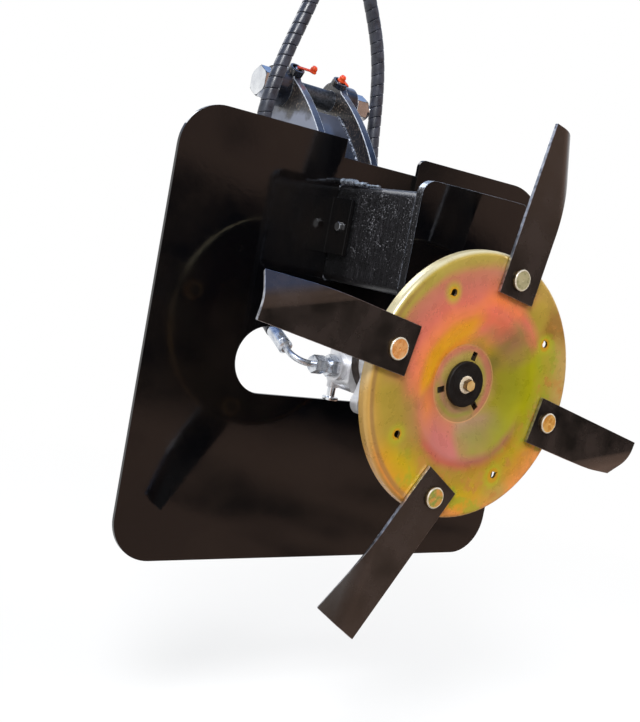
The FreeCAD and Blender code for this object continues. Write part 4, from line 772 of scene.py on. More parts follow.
def walk(places):
    """A function that gives the place, the side and the lift at any distance along a line; and its length."""
    runs = [(b - a).length for a, b in zip(places, places[1:])]
    marks = [0.0]
    for run in runs:
        marks.append(marks[-1] + run)
    heading = (places[1] - places[0]).normalized()
    side = heading.cross(Y).normalized()
    sides = [side]
    headings = [heading]
    for a, b in zip(places[1:], places[2:] + [places[-1] * 2 - places[-2]]):
        following = (b - a).normalized()
        side = (side - following * side.dot(following)).normalized()
        sides.append(side)
        headings.append(following)

    def at(distance):
        distance = min(max(distance, 0.0), marks[-1])
        index = 0
        while index < len(runs) - 1 and marks[index + 1] < distance:
            index += 1
        share = (distance - marks[index]) / runs[index]
        place = places[index].lerp(places[index + 1], share)
        heading = headings[index].lerp(headings[min(index + 1, len(headings) - 1)], share).normalized()
        side = sides[index].lerp(sides[min(index + 1, len(sides) - 1)], share)
        side = (side - heading * side.dot(heading)).normalized()
        return place, side, heading.cross(side)

    return at, marks[-1]


def make_hose(side):
    """A hose in its spiral wrap: one ribbon of nylon wound edge to edge from end to end."""
    places = centreline(HOSE_ROUTES[side])
    at, length = walk(places)
    turns = math.ceil(length / WRAP_PITCH)
    rows = []
    for turn in range(-1, turns + 1):
        rows += [((turn + share) * WRAP_PITCH, HOSE_RADIUS - depth * MM) for share, depth in WRAP_STEPS]
    verts = []
    for start, radius in rows:
        for step in range(WRAP_SIDES):
            angle = TURN * step / WRAP_SIDES
            place, across, lift = at(start + WRAP_PITCH * step / WRAP_SIDES)
            verts.append(place + (across * math.cos(angle) + lift * math.sin(angle)) * radius)
    faces = []
    per_turn = len(WRAP_STEPS)
    for row in range(len(rows) - 1):
        for step in range(WRAP_SIDES):
            ahead = step + 1
            if ahead < WRAP_SIDES:
                near = row * WRAP_SIDES + ahead
                far = (row + 1) * WRAP_SIDES + ahead
            elif row + per_turn + 1 < len(rows):
                near = (row + per_turn) * WRAP_SIDES
                far = (row + per_turn + 1) * WRAP_SIDES
            else:
                continue
            faces.append((row * WRAP_SIDES + step, near, far, (row + 1) * WRAP_SIDES + step))
    mesh = bpy.data.meshes.new("hose")
    mesh.from_pydata(verts, [], faces)
    hose = in_scene("hose", mesh)
    edit(hose)
    bpy.ops.mesh.remove_doubles(threshold=SEAM)
    bpy.ops.mesh.select_all(action="DESELECT")
    bpy.ops.mesh.select_non_manifold()
    bpy.ops.mesh.edge_face_add()
    leave_edit()
    close_up(hose, SEAM)
    smooth(hose, math.radians(40))
    finished(hose, "wrapped_hose_" + side, "frame", HOSE_WRAP, ["hose_" + side])
    return hose, places


def make_hoses():
    """Both hoses, each from its ferrule up to its coupler."""
    for side in ("left", "right"):
        hose, places = make_hose(side)


# ---------------------------------------------------------------- disc and hub

def make_disc():
    """The pressed disc with its turned rim, its four drop holes and its three key slots."""
    # The sheet keeps its thickness on the dish's slope, so its back corners lie a little further out.
    shift = DISC_SHEET * 0.22
    bore = 5.25 * MM
    profile = [
        (bore, DISH_DEPTH),
        (DISH_INNER, DISH_DEPTH),
        (DISH_OUTER, 0),
        (DISC_RADIUS, 0),
        (DISC_RADIUS, RIM_DEPTH),
        (DISC_RADIUS - DISC_SHEET, RIM_DEPTH),
        (DISC_RADIUS - DISC_SHEET, DISC_SHEET),
        (DISH_OUTER + shift, DISC_SHEET),
        (DISH_INNER + shift, DISH_DEPTH + DISC_SHEET),
        (bore, DISH_DEPTH + DISC_SHEET),
    ]
    radii = {1: 3 * MM, 2: 25 * MM, 3: 6 * MM, 4: 1.0 * MM, 5: 1.0 * MM, 6: 3 * MM, 7: 22 * MM, 8: 6 * MM}
    disc = lathe("disc", rounded(profile, radii, 7), 160, closed=True)
    settle(disc, standing(axis, Y))
    deep = 40 * MM
    tools = []
    for number in range(4):
        angle = BOLT_PHASE + TURN / 4 * number
        place = on_disc(BOLT_CIRCLE, angle)
        tools.append(rod("hole", BOLT_HOLE, place - Y * deep, place + Y * deep, 40))
        angle += TURN / 8
        centre = on_disc(DROP_CIRCLE, angle)
        drop = rod("drop", DROP_HOLE, centre - Y * deep, centre + Y * deep, 24)
        # A drop hole runs to a point the way the disc turns.
        along = Vector((-math.sin(angle), 0, math.cos(angle)))
        edit(drop)
        select_where(drop, lambda place: (place - centre).dot(along) > DROP_HOLE - 0.05 * MM)
        bpy.ops.transform.translate(value=along * 2.8 * MM)
        leave_edit()
        tools.append(drop)
    for number in range(3):
        angle = BOLT_PHASE + TURN / 3 * number
        slot = block((10 * MM, 60 * MM, 7 * MM))
        spin = Matrix.Rotation(-angle, 4, "Y")
        settle(slot, Matrix.Translation(on_disc(KEY_REACH + 1 * MM, angle)) @ spin)
        tools.append(slot)
    cut(disc, joined(tools, "tools"))
    smooth(disc, math.radians(25))
    finished(disc, "pressed_disc", "rotor", DISC_ZINC, ["disc"])


def make_hub_washer():
    """A thick washer, whose face keeps the lathe's shallow rings."""
    low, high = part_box("hub_washer")
    bore = 5.1 * MM
    thick = high.y - low.y
    wide = (high.x - low.x) / 2
    rings = []
    for number in range(5):
        ring = (11.5 + 2.2 * number) * MM
        rings += [(ring - 0.35 * MM, 0), (ring, 0.2 * MM), (ring + 0.35 * MM, 0)]
    profile = [(bore, 0)] + rings + [(wide, 0), (wide, thick), (bore, thick)]
    corner = len(rings) + 1
    washer = lathe("washer", rounded(profile, {corner: 1.4 * MM, corner + 1: 0.5 * MM}), 96, closed=True)
    settle(washer, standing(Vector((axis.x, low.y, axis.z)), Y))
    smooth(washer, math.radians(20))
    finished(washer, "thick_washer", "rotor", BLACK_PHOSPHATE, ["hub_washer"])


def make_hub_bolt():
    """A flanged hexagon bolt through the washer."""
    low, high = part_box("hub_bolt")
    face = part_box("hub_washer")[0].y
    head = hexagon("head", 6.8 * MM, 7 * MM, (True, False))
    dressed(head, BRASSY_ZINC, SHADE_DARK_ZINC)
    # The hexagon's sides are darkened with painted shade.
    second_finish_where(head, lambda normal, place: abs(normal.z) < 0.9)
    settle(head, Matrix.Translation((0, 0, low.y - face)))
    bevelled(head, 0.3 * MM, 0)
    brim = [(0, -1.5 * MM), (8 * MM, -1.5 * MM), (10 * MM, -0.6 * MM), (10 * MM, 0), (0, 0)]
    flange = lathe("flange", rounded(brim, {2: 0.3 * MM}), 48)
    reach = high.y - face
    shank = lathe("shank", [(0, 0), (5 * MM, 0), (5 * MM, reach - 1 * MM), (4 * MM, reach), (0, reach)], 32)
    # The flange is pale with a painted highlight.
    dressed(flange, PALE_ZINC_HIGHLIGHT)
    dressed(shank, SHADE_DARK_ZINC)
    bolt = joined([head, flange, shank], "hub_bolt")
    settle(bolt, standing(Vector((axis.x, face, axis.z)), Y))
    smooth(bolt)
    finished(bolt, "flanged_hub_bolt", "rotor", None, ["hub_bolt"])


# ---------------------------------------------------------------- blades

BLADE_THICK = 4 * MM
BLADE_ROOT = 21.5 * MM
BLADE_TIP = 172.5 * MM
BLADE_STRAIGHT = 24.5 * MM
BLADE_WING = 30.5 * MM
FOLD_START = 95 * MM
FOLD_END = 2 * MM
FOLD_ANGLE = math.radians(42)
FOLD_RADIUS = 34 * MM
FOLD_STEPS = 14
# The way each blade points at rest, in degrees up from the right.
BLADES = {"first": 79.5, "second": 168.8, "third": 236.3, "fourth": 346.5}


def make_blade(name, angle, number):
    """A flat blade whose outer corner is bent back round a slanting line, a little at a time."""
    fold = Vector((BLADE_TIP - FOLD_START, 0, FOLD_END + BLADE_WING)).normalized()
    outward = Vector((fold.z, 0, -fold.x))
    hinge = Vector((FOLD_START, 0, -BLADE_WING))
    # Local X runs out over the wing, local Y along the fold, local Z to the front.
    lie = Matrix((
        (outward.x, fold.x, 0, hinge.x),
        (0, 0, -1, 0),
        (outward.z, fold.z, 0, hinge.z),
        (0, 0, 0, 1),
    ))
    start_object()
    bpy.ops.mesh.primitive_plane_add(size=1)
    blade = bpy.context.object
    blade.scale = (BLADE_TIP + BLADE_ROOT, BLADE_STRAIGHT + BLADE_WING, 1)
    blade.location = ((BLADE_TIP - BLADE_ROOT) / 2, (BLADE_STRAIGHT - BLADE_WING) / 2, 0)
    settle(blade)
    settle(blade, lie.inverted() @ Matrix.Rotation(math.pi / 2, 4, "X"))
    half = FOLD_RADIUS * math.tan(FOLD_ANGLE / 2)
    step = FOLD_RADIUS * FOLD_ANGLE / FOLD_STEPS
    lines = [-half + step * (count + 0.5) for count in range(FOLD_STEPS)]
    edit(blade)
    for line in lines:
        bpy.ops.mesh.select_all(action="SELECT")
        bpy.ops.mesh.bisect(plane_co=(line, 0, 0), plane_no=(1, 0, 0))
    for line in reversed(lines):
        select_where(blade, lambda place: place.x > line + step / 4)
        bpy.ops.transform.rotate(value=-FOLD_ANGLE / FOLD_STEPS, orient_axis="Y", center_override=(line, 0, 0))
    leave_edit()
    dressed(blade, BLADE_BROWN, SHEARED_EDGE)
    sheet = blade.modifiers.new("sheet", "SOLIDIFY")
    sheet.thickness = BLADE_THICK
    sheet.offset = -1
    sheet.material_offset_rim = 1
    apply_modifiers(blade)
    close_up(blade)
    settle(blade, lie)
    cut(blade, rod("hole", BOLT_HOLE, Vector((0, -30 * MM, 0)), Vector((0, 30 * MM, 0)), 40))
    bevelled(blade, 0.5 * MM)
    smooth(blade)
    bolt = middle_of("blade_bolt_" + name)
    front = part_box("blade_" + name)[0].y
    turned = Matrix.Rotation(-math.radians(angle), 4, "Y")
    settle(blade, Matrix.Translation((bolt.x, front, bolt.z)) @ turned)
    finished(blade, "bent_blade_" + name, "blade_%d" % number, None, ["blade_" + name])


def make_blade_bolt(name):
    """A low round head with a turned edge and the lathe's centre mark, on a shouldered shank."""
    low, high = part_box("blade_bolt_" + name)
    centre = (low + high) / 2
    wide = (high.x - low.x) / 2
    deep = high.y - low.y
    profile = [
        (0, 0.6 * MM), (0.9 * MM, 0.6 * MM), (1.5 * MM, 0.15 * MM), (wide - 2.2 * MM, 0.25 * MM),
        (wide - 1.6 * MM, 0), (wide - 0.8 * MM, 0), (wide, 0.8 * MM), (wide, 3.4 * MM),
        (8 * MM, 3.4 * MM), (8 * MM, deep - 1 * MM), (7 * MM, deep), (0, deep),
    ]
    bolt = lathe("bolt", profile, 72)
    dressed(bolt, BOLT_ZINC[name], PALE_ZINC_HIGHLIGHT, SHADE_DARK_ZINC)
    # The rim of the head is pale with a painted highlight; its side wall is darkened with painted shade, and the
    # shank is dark zinc.
    second_finish_where(bolt, lambda normal, place: math.hypot(place.x, place.y) > wide - 1.9 * MM)
    second_finish_where(bolt, lambda normal, place: place.z > 0.9 * MM, 2)
    settle(bolt, standing(Vector((centre.x, low.y, centre.z)), Y))
    smooth(bolt, math.radians(22))
    finished(bolt, "shouldered_bolt_" + name, "rotor", None, ["blade_bolt_" + name])


NUT_HEIGHT = 12 * MM


def make_blade_nuts():
    """Four locking nuts behind the disc."""
    nuts = []
    back = disc_front + DISC_SHEET
    for number in range(4):
        nut = hexagon("nut", 13.9 * MM, NUT_HEIGHT)
        cut(nut, rod("bore", 8.2 * MM, Vector((0, 0, -MM)), Vector((0, 0, NUT_HEIGHT + MM)), 40))
        place = on_disc(BOLT_CIRCLE, BOLT_PHASE + TURN / 4 * number)
        settle(nut, standing(Vector((place.x, back, place.z)), Y))
        nuts.append(nut)
    nuts = joined(nuts, "nuts")
    smooth(nuts)
    finished(nuts, "locking_nuts", "rotor", GOLD_ZINC, ["blade_nuts"])


# ---------------------------------------------------------------- ports

# How far to either side of its middle a flute is pressed in, as a share of one flute's turn.
FLUTE_SHARE = 0.16
ELBOW_REACH = 24 * MM
ELBOW_BEND = 22 * MM
ELBOW_RISE = 27 * MM
FERRULE_TILT = math.radians(26)
FERRULE_LENGTH = 38 * MM
SWIVEL_LENGTH = 15.5 * MM


def fluted(piece, low, high, count, depth):
    """Press long flutes into a turned piece, between two heights."""
    edit(piece)

    def in_flute(place):
        around = math.atan2(place.y, place.x) / TURN * count
        return low < place.z < high and abs(around - round(around)) < FLUTE_SHARE

    select_where(piece, in_flute)
    bpy.ops.transform.resize(value=(1 - depth, 1 - depth, 1), center_override=(0, 0, 0))
    leave_edit()


def make_port_line(side):
    """The adaptor and swivel nut, the bent tube and the crimped ferrule of one port."""
    low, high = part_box("port_fitting_" + side)
    middle = (low + high) / 2
    left = side == "left"
    out = -X if left else X
    start = Vector((low.x if left else high.x, middle.y, middle.z))
    root = Vector((high.x if left else low.x, middle.y, middle.z))
    adaptor = hexagon("adaptor", 13.9 * MM, 11 * MM)
    neck = lathe("neck", [(0, 10 * MM), (8.8 * MM, 10 * MM), (8.8 * MM, 13 * MM), (9.4 * MM, 14 * MM),
                          (9.4 * MM, 18 * MM), (0, 18 * MM)], 48)
    nut = hexagon("nut", 11.5 * MM, SWIVEL_LENGTH)
    settle(nut, Matrix.Translation((0, 0, high.x - low.x - SWIVEL_LENGTH)))
    for part in (adaptor, neck, nut):
        dressed(part, FITTING_ZINC, SHADED_ZINC_CORNER)
    # The bevels of the adaptor and the nut take a darker painted shade.
    for part in (adaptor, nut):
        bevelled(part, 0.3 * MM, 1)
    fitting = joined([adaptor, neck, nut], "fitting")
    settle(fitting, standing(root, out))
    smooth(fitting)
    finished(fitting, "hose_fitting_" + side, "frame", None, ["port_fitting_" + side])
    along = Vector((0, math.cos(FERRULE_TILT), math.sin(FERRULE_TILT)))
    corner = start + out * ELBOW_REACH
    start_object()
    bpy.ops.mesh.primitive_circle_add(vertices=32, radius=4 * MM, fill_type="NGON")
    tube = bpy.context.object
    settle(tube, standing(start - out * 2 * MM, out))
    edit(tube)
    straight = ELBOW_REACH - ELBOW_BEND
    bpy.ops.mesh.extrude_region_move(TRANSFORM_OT_translate={"value": out * (straight + 2 * MM)})
    pivot = start + out * straight + along * ELBOW_BEND
    bpy.ops.mesh.spin(steps=14, angle=-TURN / 4, center=pivot, axis=out.cross(along))
    bpy.ops.mesh.extrude_region_move(TRANSFORM_OT_translate={"value": along * (ELBOW_RISE - ELBOW_BEND + MM)})
    leave_edit()
    close_up(tube)
    smooth(tube)
    finished(tube, "bent_tube_" + side, "frame", FITTING_ZINC, ["elbow_" + side])
    profile = [
        (0, 0), (6.4 * MM, 0), (7.6 * MM, 1.2 * MM), (9 * MM, 2.2 * MM), (9 * MM, 6.6 * MM), (8.2 * MM, 7.6 * MM),
        (8.2 * MM, 9 * MM), (8.8 * MM, 10 * MM), (8.8 * MM, 18 * MM), (8.8 * MM, 26 * MM), (8.8 * MM, 32 * MM),
        (9 * MM, 33 * MM), (9 * MM, 36.6 * MM), (8.4 * MM, FERRULE_LENGTH), (0, FERRULE_LENGTH),
    ]
    ferrule = lathe("ferrule", profile, 80)
    fluted(ferrule, 9.5 * MM, 32.5 * MM, 8, 0.035)
    settle(ferrule, standing(corner + along * ELBOW_RISE, along))
    smooth(ferrule, math.radians(25))
    finished(ferrule, "crimped_ferrule_" + side, "frame", FITTING_ZINC, ["ferrule_" + side])


# ---------------------------------------------------------------- link pin and grease fittings

# The M24 pin: its hexagons' corner radius and the lengths of its head and nut, its shank and its thread.
PIN_CORNER = 20.8 * MM
PIN_HEAD = 19 * MM
PIN_NUT = 24 * MM
PIN_SHANK = 14 * MM
THREAD_TOP = 12 * MM
THREAD_ROOT = 11 * MM
THREAD_PITCH = 2 * MM


def make_link_pin():
    """A zinc-plated hexagon bolt through both ears, and its locking nut with a nylon collar."""
    low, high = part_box("link_pin")
    middle = (low + high) / 2
    head = hexagon("head", PIN_CORNER, PIN_HEAD, (True, False))
    dressed(head, BRIGHT_ZINC, SHADED_ZINC_CORNER)
    # The head's chamfers and bevels take a darker painted shade.
    second_finish_where(head, lambda normal, place: 0.05 < abs(normal.z) < 0.95)
    bevelled(head, 0.6 * MM, 2)
    nut_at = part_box("link_nut")[0].x - low.x
    end = high.x - low.x
    profile = [(0, PIN_HEAD), (PIN_SHANK, PIN_HEAD), (PIN_SHANK, nut_at - MM), (THREAD_TOP, nut_at)]
    height = nut_at + THREAD_PITCH
    while height < end - THREAD_PITCH:
        profile += [(THREAD_TOP, height), (THREAD_ROOT, height + THREAD_PITCH / 2)]
        height += THREAD_PITCH
    profile += [(THREAD_ROOT, end - MM), (THREAD_ROOT - MM, end), (0, end)]
    shank = lathe("shank", profile, 64)
    dressed(shank, BRIGHT_ZINC, GREASED)
    pin = joined([head, shank], "pin")
    settle(pin, standing(Vector((low.x, middle.y, middle.z)), X))
    # Between the ears the shank is greased.
    second_finish_where(pin, lambda normal, place: abs(place.x) < 34 * MM)
    smooth(pin)
    finished(pin, "plated_link_pin", "frame", None, ["link_pin"])
    nut = hexagon("nut", PIN_CORNER, PIN_NUT)
    dressed(nut, BRIGHT_ZINC, SHADED_ZINC_CORNER)
    # The nut's bevels take the same painted shade.
    bevelled(nut, 0.6 * MM)
    ring = [(12.1 * MM, PIN_NUT - MM), (16 * MM, PIN_NUT - MM), (14 * MM, 30 * MM), (12.1 * MM, 30 * MM)]
    collar = lathe("collar", rounded(ring, {2: 1.2 * MM}), 64, closed=True)
    dressed(collar, BRIGHT_ZINC, SHADED_ZINC_CORNER)
    nut = joined([nut, collar], "nut")
    settle(nut, standing(Vector((low.x + nut_at, middle.y, middle.z)), X))
    smooth(nut)
    finished(nut, "plated_link_nut", "frame", None, ["link_nut"])


GREASE_LEAN = math.radians(37)
LEAN = Vector((0, -math.sin(GREASE_LEAN), math.cos(GREASE_LEAN)))
GREASE_REACH = 27.8 * MM


def make_grease_fittings():
    """Collars round the nipples, and the soft caps: one on its nipple, one hanging by its strap."""
    link = middle_of("link_pin")
    for side, across in (("left", -40 * MM), ("right", 33 * MM)):
        foot = Vector((across, link.y, link.z)) + LEAN * GREASE_REACH
        ring = [(7.5 * MM, -2 * MM), (11 * MM, -2 * MM), (11 * MM, 6 * MM), (7.5 * MM, 6 * MM)]
        collar = lathe("collar", rounded(ring, {2: 1.2 * MM, 3: 0.8 * MM}), 56, closed=True)
        settle(collar, standing(foot, LEAN))
        smooth(collar)
        finished(collar, "nipple_collar_" + side, "frame", EAR_PAINT, ["grease_collar_" + side])
        profile = [(0, 0), (3.5 * MM, 0), (3.5 * MM, 2.4 * MM), (2.3 * MM, 3.0 * MM), (2.1 * MM, 4.0 * MM),
                   (3.2 * MM, 4.8 * MM), (2.9 * MM, 5.7 * MM), (1.4 * MM, 6.2 * MM), (0, 6.2 * MM)]
        nipple = lathe("nipple", profile, 32)
        settle(nipple, standing(foot, LEAN))
        smooth(nipple)
        finished(nipple, "zinc_nipple_" + side, "frame", BRIGHT_ZINC, ["grease_nipple_" + side])
        bell = [(0, 0), (5.2 * MM, 0), (5.5 * MM, 1.5 * MM), (4.6 * MM, 3 * MM), (4.6 * MM, 6 * MM),
                (3.2 * MM, 8.6 * MM), (0, 9 * MM)]
        cap = lathe("cap", rounded(bell, {3: 0.8 * MM, 4: 0.8 * MM, 5: 1 * MM}), 40)
        seat = foot + LEAN * 6.3 * MM
        if side == "left":
            seat = seat + X * 24 * MM
            tether = block((27 * MM, 5 * MM, 2 * MM), (-11 * MM, 0, 1 * MM))
            bevelled(tether, 0.7 * MM, 3)
        else:
            start_object()
            bpy.ops.mesh.primitive_torus_add(major_segments=36, minor_segments=12, major_radius=5 * MM,
                                             minor_radius=1.3 * MM, location=(9 * MM, 0, -1 * MM),
                                             rotation=(0, math.radians(25), 0))
            tether = bpy.context.object
            settle(tether)
        cap = joined([cap, tether], "cap")
        settle(cap, Matrix.Translation(seat) @ Matrix.Rotation(GREASE_LEAN, 4, "X"))
        smooth(cap, math.radians(50))
        finished(cap, "soft_cap_" + side, "frame", CAP_ORANGE, ["grease_cap_" + side])


# ---------------------------------------------------------------- welds

BEAD_STEP = 1.1 * MM


def weld_bead(route, radius, seed):
    """A bead of weld laid along a route: overlapping scallops, none quite like the last."""
    draw = random.Random(seed)
    curve = bpy.data.curves.new("bead", "CURVE")
    curve.dimensions = "3D"
    curve.bevel_depth = radius
    curve.bevel_resolution = 3
    curve.use_fill_caps = True
    places = []
    for start, end in zip(route, route[1:]):
        count = max(2, int((end - start).length / BEAD_STEP))
        places += [start.lerp(end, step / count) for step in range(count)]
    places.append(route[-1])
    spline = curve.splines.new("POLY")
    spline.points.add(len(places) - 1)
    swell = 1.0
    for number, (knot, place) in enumerate(zip(spline.points, places)):
        if number % 4 == 0:
            swell = draw.uniform(0.9, 1.12)
        ripple = (0.86, 0.97, 1.04, 0.98)[number % 4]
        wander = Vector([draw.uniform(-0.12, 0.12) * radius for _ in range(3)])
        knot.co = (*(place + wander), 1)
        knot.radius = swell * ripple
    bead = in_scene("bead", curve)
    pick(bead)
    bpy.ops.object.convert(target="MESH")
    bead = bpy.context.object
    close_up(bead)
    smooth(bead, math.radians(60))
    return bead


# The ears' front edge: its radius, where its top end lies from the link pin, and how low its foot is. The web between
# the ears is set back from it.
EAR_CURVE = 345 * MM
EAR_TOP = (-19 * MM, 15 * MM)
EAR_FOOT = -55 * MM
WEB_INSET = 24 * MM
# The ragged bead on the arm's upper left corner, in millimetres: from, to, how high, and its radius.
RAGGED_RUNS = ((4, 34, 3.0, 3.8), (34, 54, 1.4, 2.8), (54, 78, 0.5, 1.8))


def web_centre():
    """The centre of the ears' front edge, from the edge's two ends and its radius."""
    link = middle_of("link_pin")
    top_y, top_z = link.y + EAR_TOP[0], link.z + EAR_TOP[1]
    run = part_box("hitch_plate")[1].y - top_y
    drop = EAR_FOOT - top_z
    chord = math.hypot(run, drop)
    reach = math.sqrt(EAR_CURVE ** 2 - chord * chord / 4)
    return top_y + run / 2 - drop / chord * reach, top_z + drop / 2 + run / chord * reach


def make_welds():
    """Beads round the arm's ends and along its corner, down the ears and along the web."""
    beads = []
    arm_low, arm_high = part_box("box_arm")
    inset = 6 * MM
    around = [
        (arm_low.x, arm_low.z + inset), (arm_low.x, arm_high.z - inset),
        (arm_low.x + inset, arm_high.z), (arm_high.x - inset, arm_high.z),
        (arm_high.x, arm_high.z - inset), (arm_high.x, arm_low.z + inset),
        (arm_high.x - inset, arm_low.z), (arm_low.x + inset, arm_low.z),
        (arm_low.x, arm_low.z + inset),
    ]
    for seed, y in enumerate((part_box("motor_plate")[1].y + 1.2 * MM, arm_high.y - 1.2 * MM)):
        beads.append(weld_bead([Vector((x, y, z)) for x, z in around], 2.2 * MM, seed))
    # A ragged bead runs forward from the guard along the arm's upper left corner, and thins out halfway.
    x = arm_low.x + 2 * MM
    for seed, (start, end, lift, radius) in enumerate(RAGGED_RUNS, 50):
        route = [Vector((x, arm_high.y - back * MM, arm_high.z + lift * MM)) for back in (start, end)]
        beads.append(weld_bead(route, radius * MM, seed))
    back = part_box("hitch_plate")[1].y + 1 * MM
    for seed, ear in enumerate(("ear_left", "ear_right"), 10):
        low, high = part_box(ear)
        for number, x in enumerate((low.x - 1 * MM, high.x + 1 * MM)):
            route = [Vector((x, back, low.z + rise * MM)) for rise in (4, 58)]
            beads.append(weld_bead(route, 2.8 * MM, seed * 2 + number))
    # The web's bead runs round the centre of the ears' curved front edge.
    radius = EAR_CURVE - WEB_INSET
    y, z = web_centre()
    turns = [math.radians(angle) for angle in range(127, 159)]
    for seed, x in enumerate((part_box("ear_left")[1].x + 0.6 * MM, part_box("ear_right")[0].x - 0.6 * MM), 30):
        route = [Vector((x, y + radius * math.cos(turn), z + radius * math.sin(turn))) for turn in turns]
        beads.append(weld_bead(route, 2.6 * MM, seed))
    welds = joined(beads, "welds")
    dressed(welds, WELD, UPWARD_SKY_REFLECTION)

    def on_ragged_top(normal, place):
        along = arm_high.y - 80 * MM < place.y < arm_high.y - 4 * MM
        return along and place.x < 0 and place.z > arm_high.z and normal.z > 0.1

    # The ragged bead's upward faces take the pale painted sky reflection.
    second_finish_where(welds, on_ragged_top)
    finished(welds, "weld_beads", "frame", None, ())


# ---------------------------------------------------------------- floor and light

# What the gloss paint mirrors in front of the cutter: a dark tree line, with a brown, patchy haze above and below it.
ROOM_STOPS = [(0.34, "#4A423D"), (0.46, "#BC9A88")]
TREE_LINE = "#131519"
FLOOR_DROP = 0.22


def seen_plainly(tree):
    """The rays that see the white room, from the camera, off a shine or through glass; and those off a shine."""
    ray = add(tree, "ShaderNodeLightPath")
    shine = ray.outputs["Is Glossy Ray"]
    either = add(tree, "ShaderNodeMath", {"operation": "MAXIMUM", 0: ray.outputs["Is Camera Ray"], 1: shine})
    any_of = add(tree, "ShaderNodeMath", {"operation": "MAXIMUM", 0: either, 1: ray.outputs["Is Transmission Ray"]})
    return any_of, shine


def dim_room(tree, place, grain, height, unevenness, start, end):
    """A brown haze with patches of a given grain, which gives way to dark trees at an uneven height."""
    clouds = add(tree, "ShaderNodeTexNoise", {"Scale": grain, "Detail": 3.0, "Vector": place})
    haze = add(tree, "ShaderNodeValToRGB", {"stops": ROOM_STOPS, "Fac": clouds})
    ragged = add(tree, "ShaderNodeMath", {"operation": "MULTIPLY_ADD", 0: clouds, 1: unevenness, 2: height})
    hazy = add(tree, "ShaderNodeMapRange", {
        "interpolation_type": "SMOOTHSTEP", "From Min": start, "From Max": end, "Value": ragged
    })
    return add(tree, "ShaderNodeMix", {"data_type": "RGBA", 0: hazy, 6: TREE_LINE, 7: haze})


def make_stage():
    """A pale floor well below the cutter, which keeps its soft shadow and fades to plain white."""
    low, high = cad_box
    below = ((low.x + high.x) / 2, (low.y + high.y) / 2, low.z - FLOOR_DROP)
    start_object()
    bpy.ops.mesh.primitive_circle_add(vertices=96, radius=12, fill_type="NGON", location=below)
    floor = bpy.context.object
    floor.name = "floor"
    settle(floor)
    material = bpy.data.materials.new("pale_floor")
    material.use_nodes = True
    tree = material.node_tree
    tree.nodes.clear()
    place = add(tree, "ShaderNodeTexCoord").outputs["Object"]
    away = add(tree, "ShaderNodeVectorMath", {"operation": "DISTANCE", 0: place, 1: below})
    fade = add(tree, "ShaderNodeMapRange", {
        "From Min": 0.3, "From Max": 1.6, "To Min": 0.62, "To Max": 1.0, "Value": away
    })
    any_of, shine = seen_plainly(tree)
    # What shines sees the floor in front of the disc as dim as the room above it.
    ahead = add(tree, "ShaderNodeVectorMath", {"operation": "DOT_PRODUCT", 0: place, 1: (0.60, -0.79, 0.0)})
    room = dim_room(tree, place, 1.3, ahead, 1.2, 3.4, 2.5)
    dim = add(tree, "ShaderNodeMapRange", {
        "interpolation_type": "SMOOTHSTEP", "From Min": -0.05, "From Max": 0.35, "Value": ahead
    })
    dimmed = add(tree, "ShaderNodeMath", {"operation": "MULTIPLY", 0: dim, 1: shine})
    shown = add(tree, "ShaderNodeMix", {"data_type": "RGBA", 0: dimmed, 6: "#FFFFFF", 7: room})
    white = add(tree, "ShaderNodeEmission", {"Color": shown, "Strength": 1.0})
    lit = add(tree, "ShaderNodeBsdfDiffuse", {"Color": "#F4F4F4"})
    plainly = add(tree, "ShaderNodeMath", {"operation": "MAXIMUM", 0: fade, 1: dimmed})
    seen = add(tree, "ShaderNodeMixShader", {0: plainly, 1: lit, 2: white})
    plain = add(tree, "ShaderNodeBsdfDiffuse", {"Color": "#C8C6C2"})
    both = add(tree, "ShaderNodeMixShader", {0: any_of, 1: plain, 2: seen})
    add(tree, "ShaderNodeOutputMaterial", {"Surface": both})
    floor.data.materials.append(material)


def make_sky():
    """White to the camera. What shines sees a bluer sky overhead, and a dim, uneven room in front of the disc."""
    world = bpy.data.worlds.new("sky")
    bpy.context.scene.world = world
    world.use_nodes = True
    tree = world.node_tree
    tree.nodes.clear()
    any_of, shine = seen_plainly(tree)
    soft = add(tree, "ShaderNodeBackground", {"Color": "#EEF2F8", "Strength": 0.55})
    white = add(tree, "ShaderNodeBackground", {"Color": "#FFFFFF", "Strength": 1.0})
    plain = add(tree, "ShaderNodeMixShader", {0: any_of, 1: soft, 2: white})
    toward = add(tree, "ShaderNodeTexCoord").outputs["Generated"]
    height = add(tree, "ShaderNodeSeparateXYZ", {0: toward}).outputs["Z"]
    sky = add(tree, "ShaderNodeValToRGB", {
        "stops": [(0.16, "#FFFFFF"), (0.48, "#A6BEE4"), (0.85, "#6C8FCB")], "Fac": height
    })
    room = dim_room(tree, toward, 5.0, height, 0.16, 0.12, 0.145)
    ahead = add(tree, "ShaderNodeVectorMath", {"operation": "DOT_PRODUCT", 0: toward, 1: (0.60, -0.79, -0.12)})
    dim = add(tree, "ShaderNodeMapRange", {
        "interpolation_type": "SMOOTHSTEP", "From Min": 0.30, "From Max": 0.80, "Value": ahead
    })
    seen = add(tree, "ShaderNodeMix", {"data_type": "RGBA", 0: dim, 6: sky, 7: room})
    mirrored = add(tree, "ShaderNodeBackground", {"Color": seen, "Strength": 1.0})
    both = add(tree, "ShaderNodeMixShader", {0: shine, 1: plain, 2: mirrored})
    add(tree, "ShaderNodeOutputWorld", {"Surface": both})


def make_lamp(name, place, size, power, target, mirrored=True):
    """A round soft lamp, which shiny surfaces may or may not mirror."""
    data = bpy.data.lights.new(name, "AREA")
    data.shape = "DISK"
    data.size = size
    data.energy = power
    lamp = in_scene(name, data)
    lamp.location = place
    lamp.rotation_euler = (target - Vector(place)).to_track_quat("-Z", "Y").to_euler()
    lamp.visible_glossy = mirrored


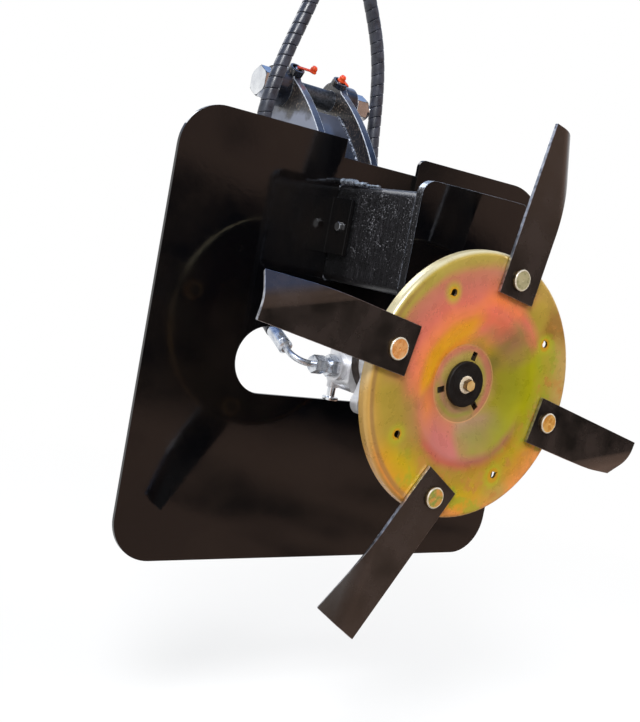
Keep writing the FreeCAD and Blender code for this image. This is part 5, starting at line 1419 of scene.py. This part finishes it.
def make_lamps():
    """A key from the front left, a fill that nothing mirrors, and a soft light from behind."""
    low, high = cad_box
    middle = (low + high) / 2
    make_lamp("key", (-1.5, -1.6, 1.6), 0.9, 55, middle)
    make_lamp("fill", (1.6, -1.4, 0.9), 1.4, 22, middle, False)
    make_lamp("back", (-0.4, 1.8, 1.6), 1.4, 24, middle)


# ---------------------------------------------------------------- assembly

make_camera()
make_hoses()
make_disc()
make_hub_washer()
make_hub_bolt()
for number, (name, angle) in enumerate(BLADES.items(), 1):
    make_blade(name, angle, number)
    make_blade_bolt(name)
make_blade_nuts()
for side in ("left", "right"):
    make_port_line(side)
make_link_pin()
make_grease_fittings()
make_welds()

GLOSS = (GLOSS_BLACK,)
ENAMEL = (EAR_PAINT, EAR_EDGE_HIGHLIGHT)
ZINC = (BRIGHT_ZINC,)
SILVER = (SILVER_PAINT,)
# CAD nodes that only need their edges broken: how wide in millimetres, their finishes and their slot.
SOFT = [
    (["guard_plate"], 0.7, GLOSS, "gloss_black"),
    (["hitch_plate"], 0.9, GLOSS, "gloss_black"),
    (["motor_plate"], 0.8, (GLOSS_BLACK, UPWARD_SKY_REFLECTION, ROUGH_BLACK), "gloss_black"),
    (["box_arm"], 0.5, (ROUGH_BLACK, RUBBED_AND_HIGHLIT_EDGE), "rough_black"),
    (["ear_left", "ear_right"], 1.2, ENAMEL, "gloss_black"),
    (["ear_web", "arm_boss_left", "arm_boss_right", "link_boss_left", "link_boss_right"], 1.0, ENAMEL, "gloss_black"),
    (["bearing_housing"], 1.0, (ROUGH_BLACK,), "rough_black"),
    (["motor_flange"], 1.0, SILVER, "silver_paint"),
    (["motor_ring"], 0.5, (DARK_IRON,), "dark_iron"),
    (["motor_block"], 1.4, SILVER, "silver_paint"),
    (["motor_cap"], 0.8, SILVER, "silver_paint"),
    (["drain_plug"], 0.8, ZINC, "bright_zinc"),
    (["flange_bolts"], 0.7, ZINC, "bright_zinc"),
    (["housing_bolts"], 0.5, ZINC, "bright_zinc"),
    (["tab_bolt_left", "tab_bolt_right"], 0.4, ZINC, "bright_zinc"),
    (["hub"], 0.6, (DARK_IRON,), "dark_iron"),
]
for nodes, width, finishes, slot in SOFT:
    for node in nodes:
        piece = softened(node, "rotor" if node == "hub" else "frame", width * MM, finishes)
        if node == "motor_plate":
            # Its upward faces take a pale painted sky reflection, and its left edge is brushed like the arm.
            second_finish_where(piece, lambda normal, place: normal.z > 0.15)
            second_finish_where(piece, lambda normal, place: normal.x < -0.9, 2)
for side in ("left", "right"):
    dressed(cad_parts["coupler_" + side], BRIGHT_ZINC)

make_stage()
make_sky()
make_lamps()
bpy.context.scene.view_settings.view_transform = "Standard"
start_object()
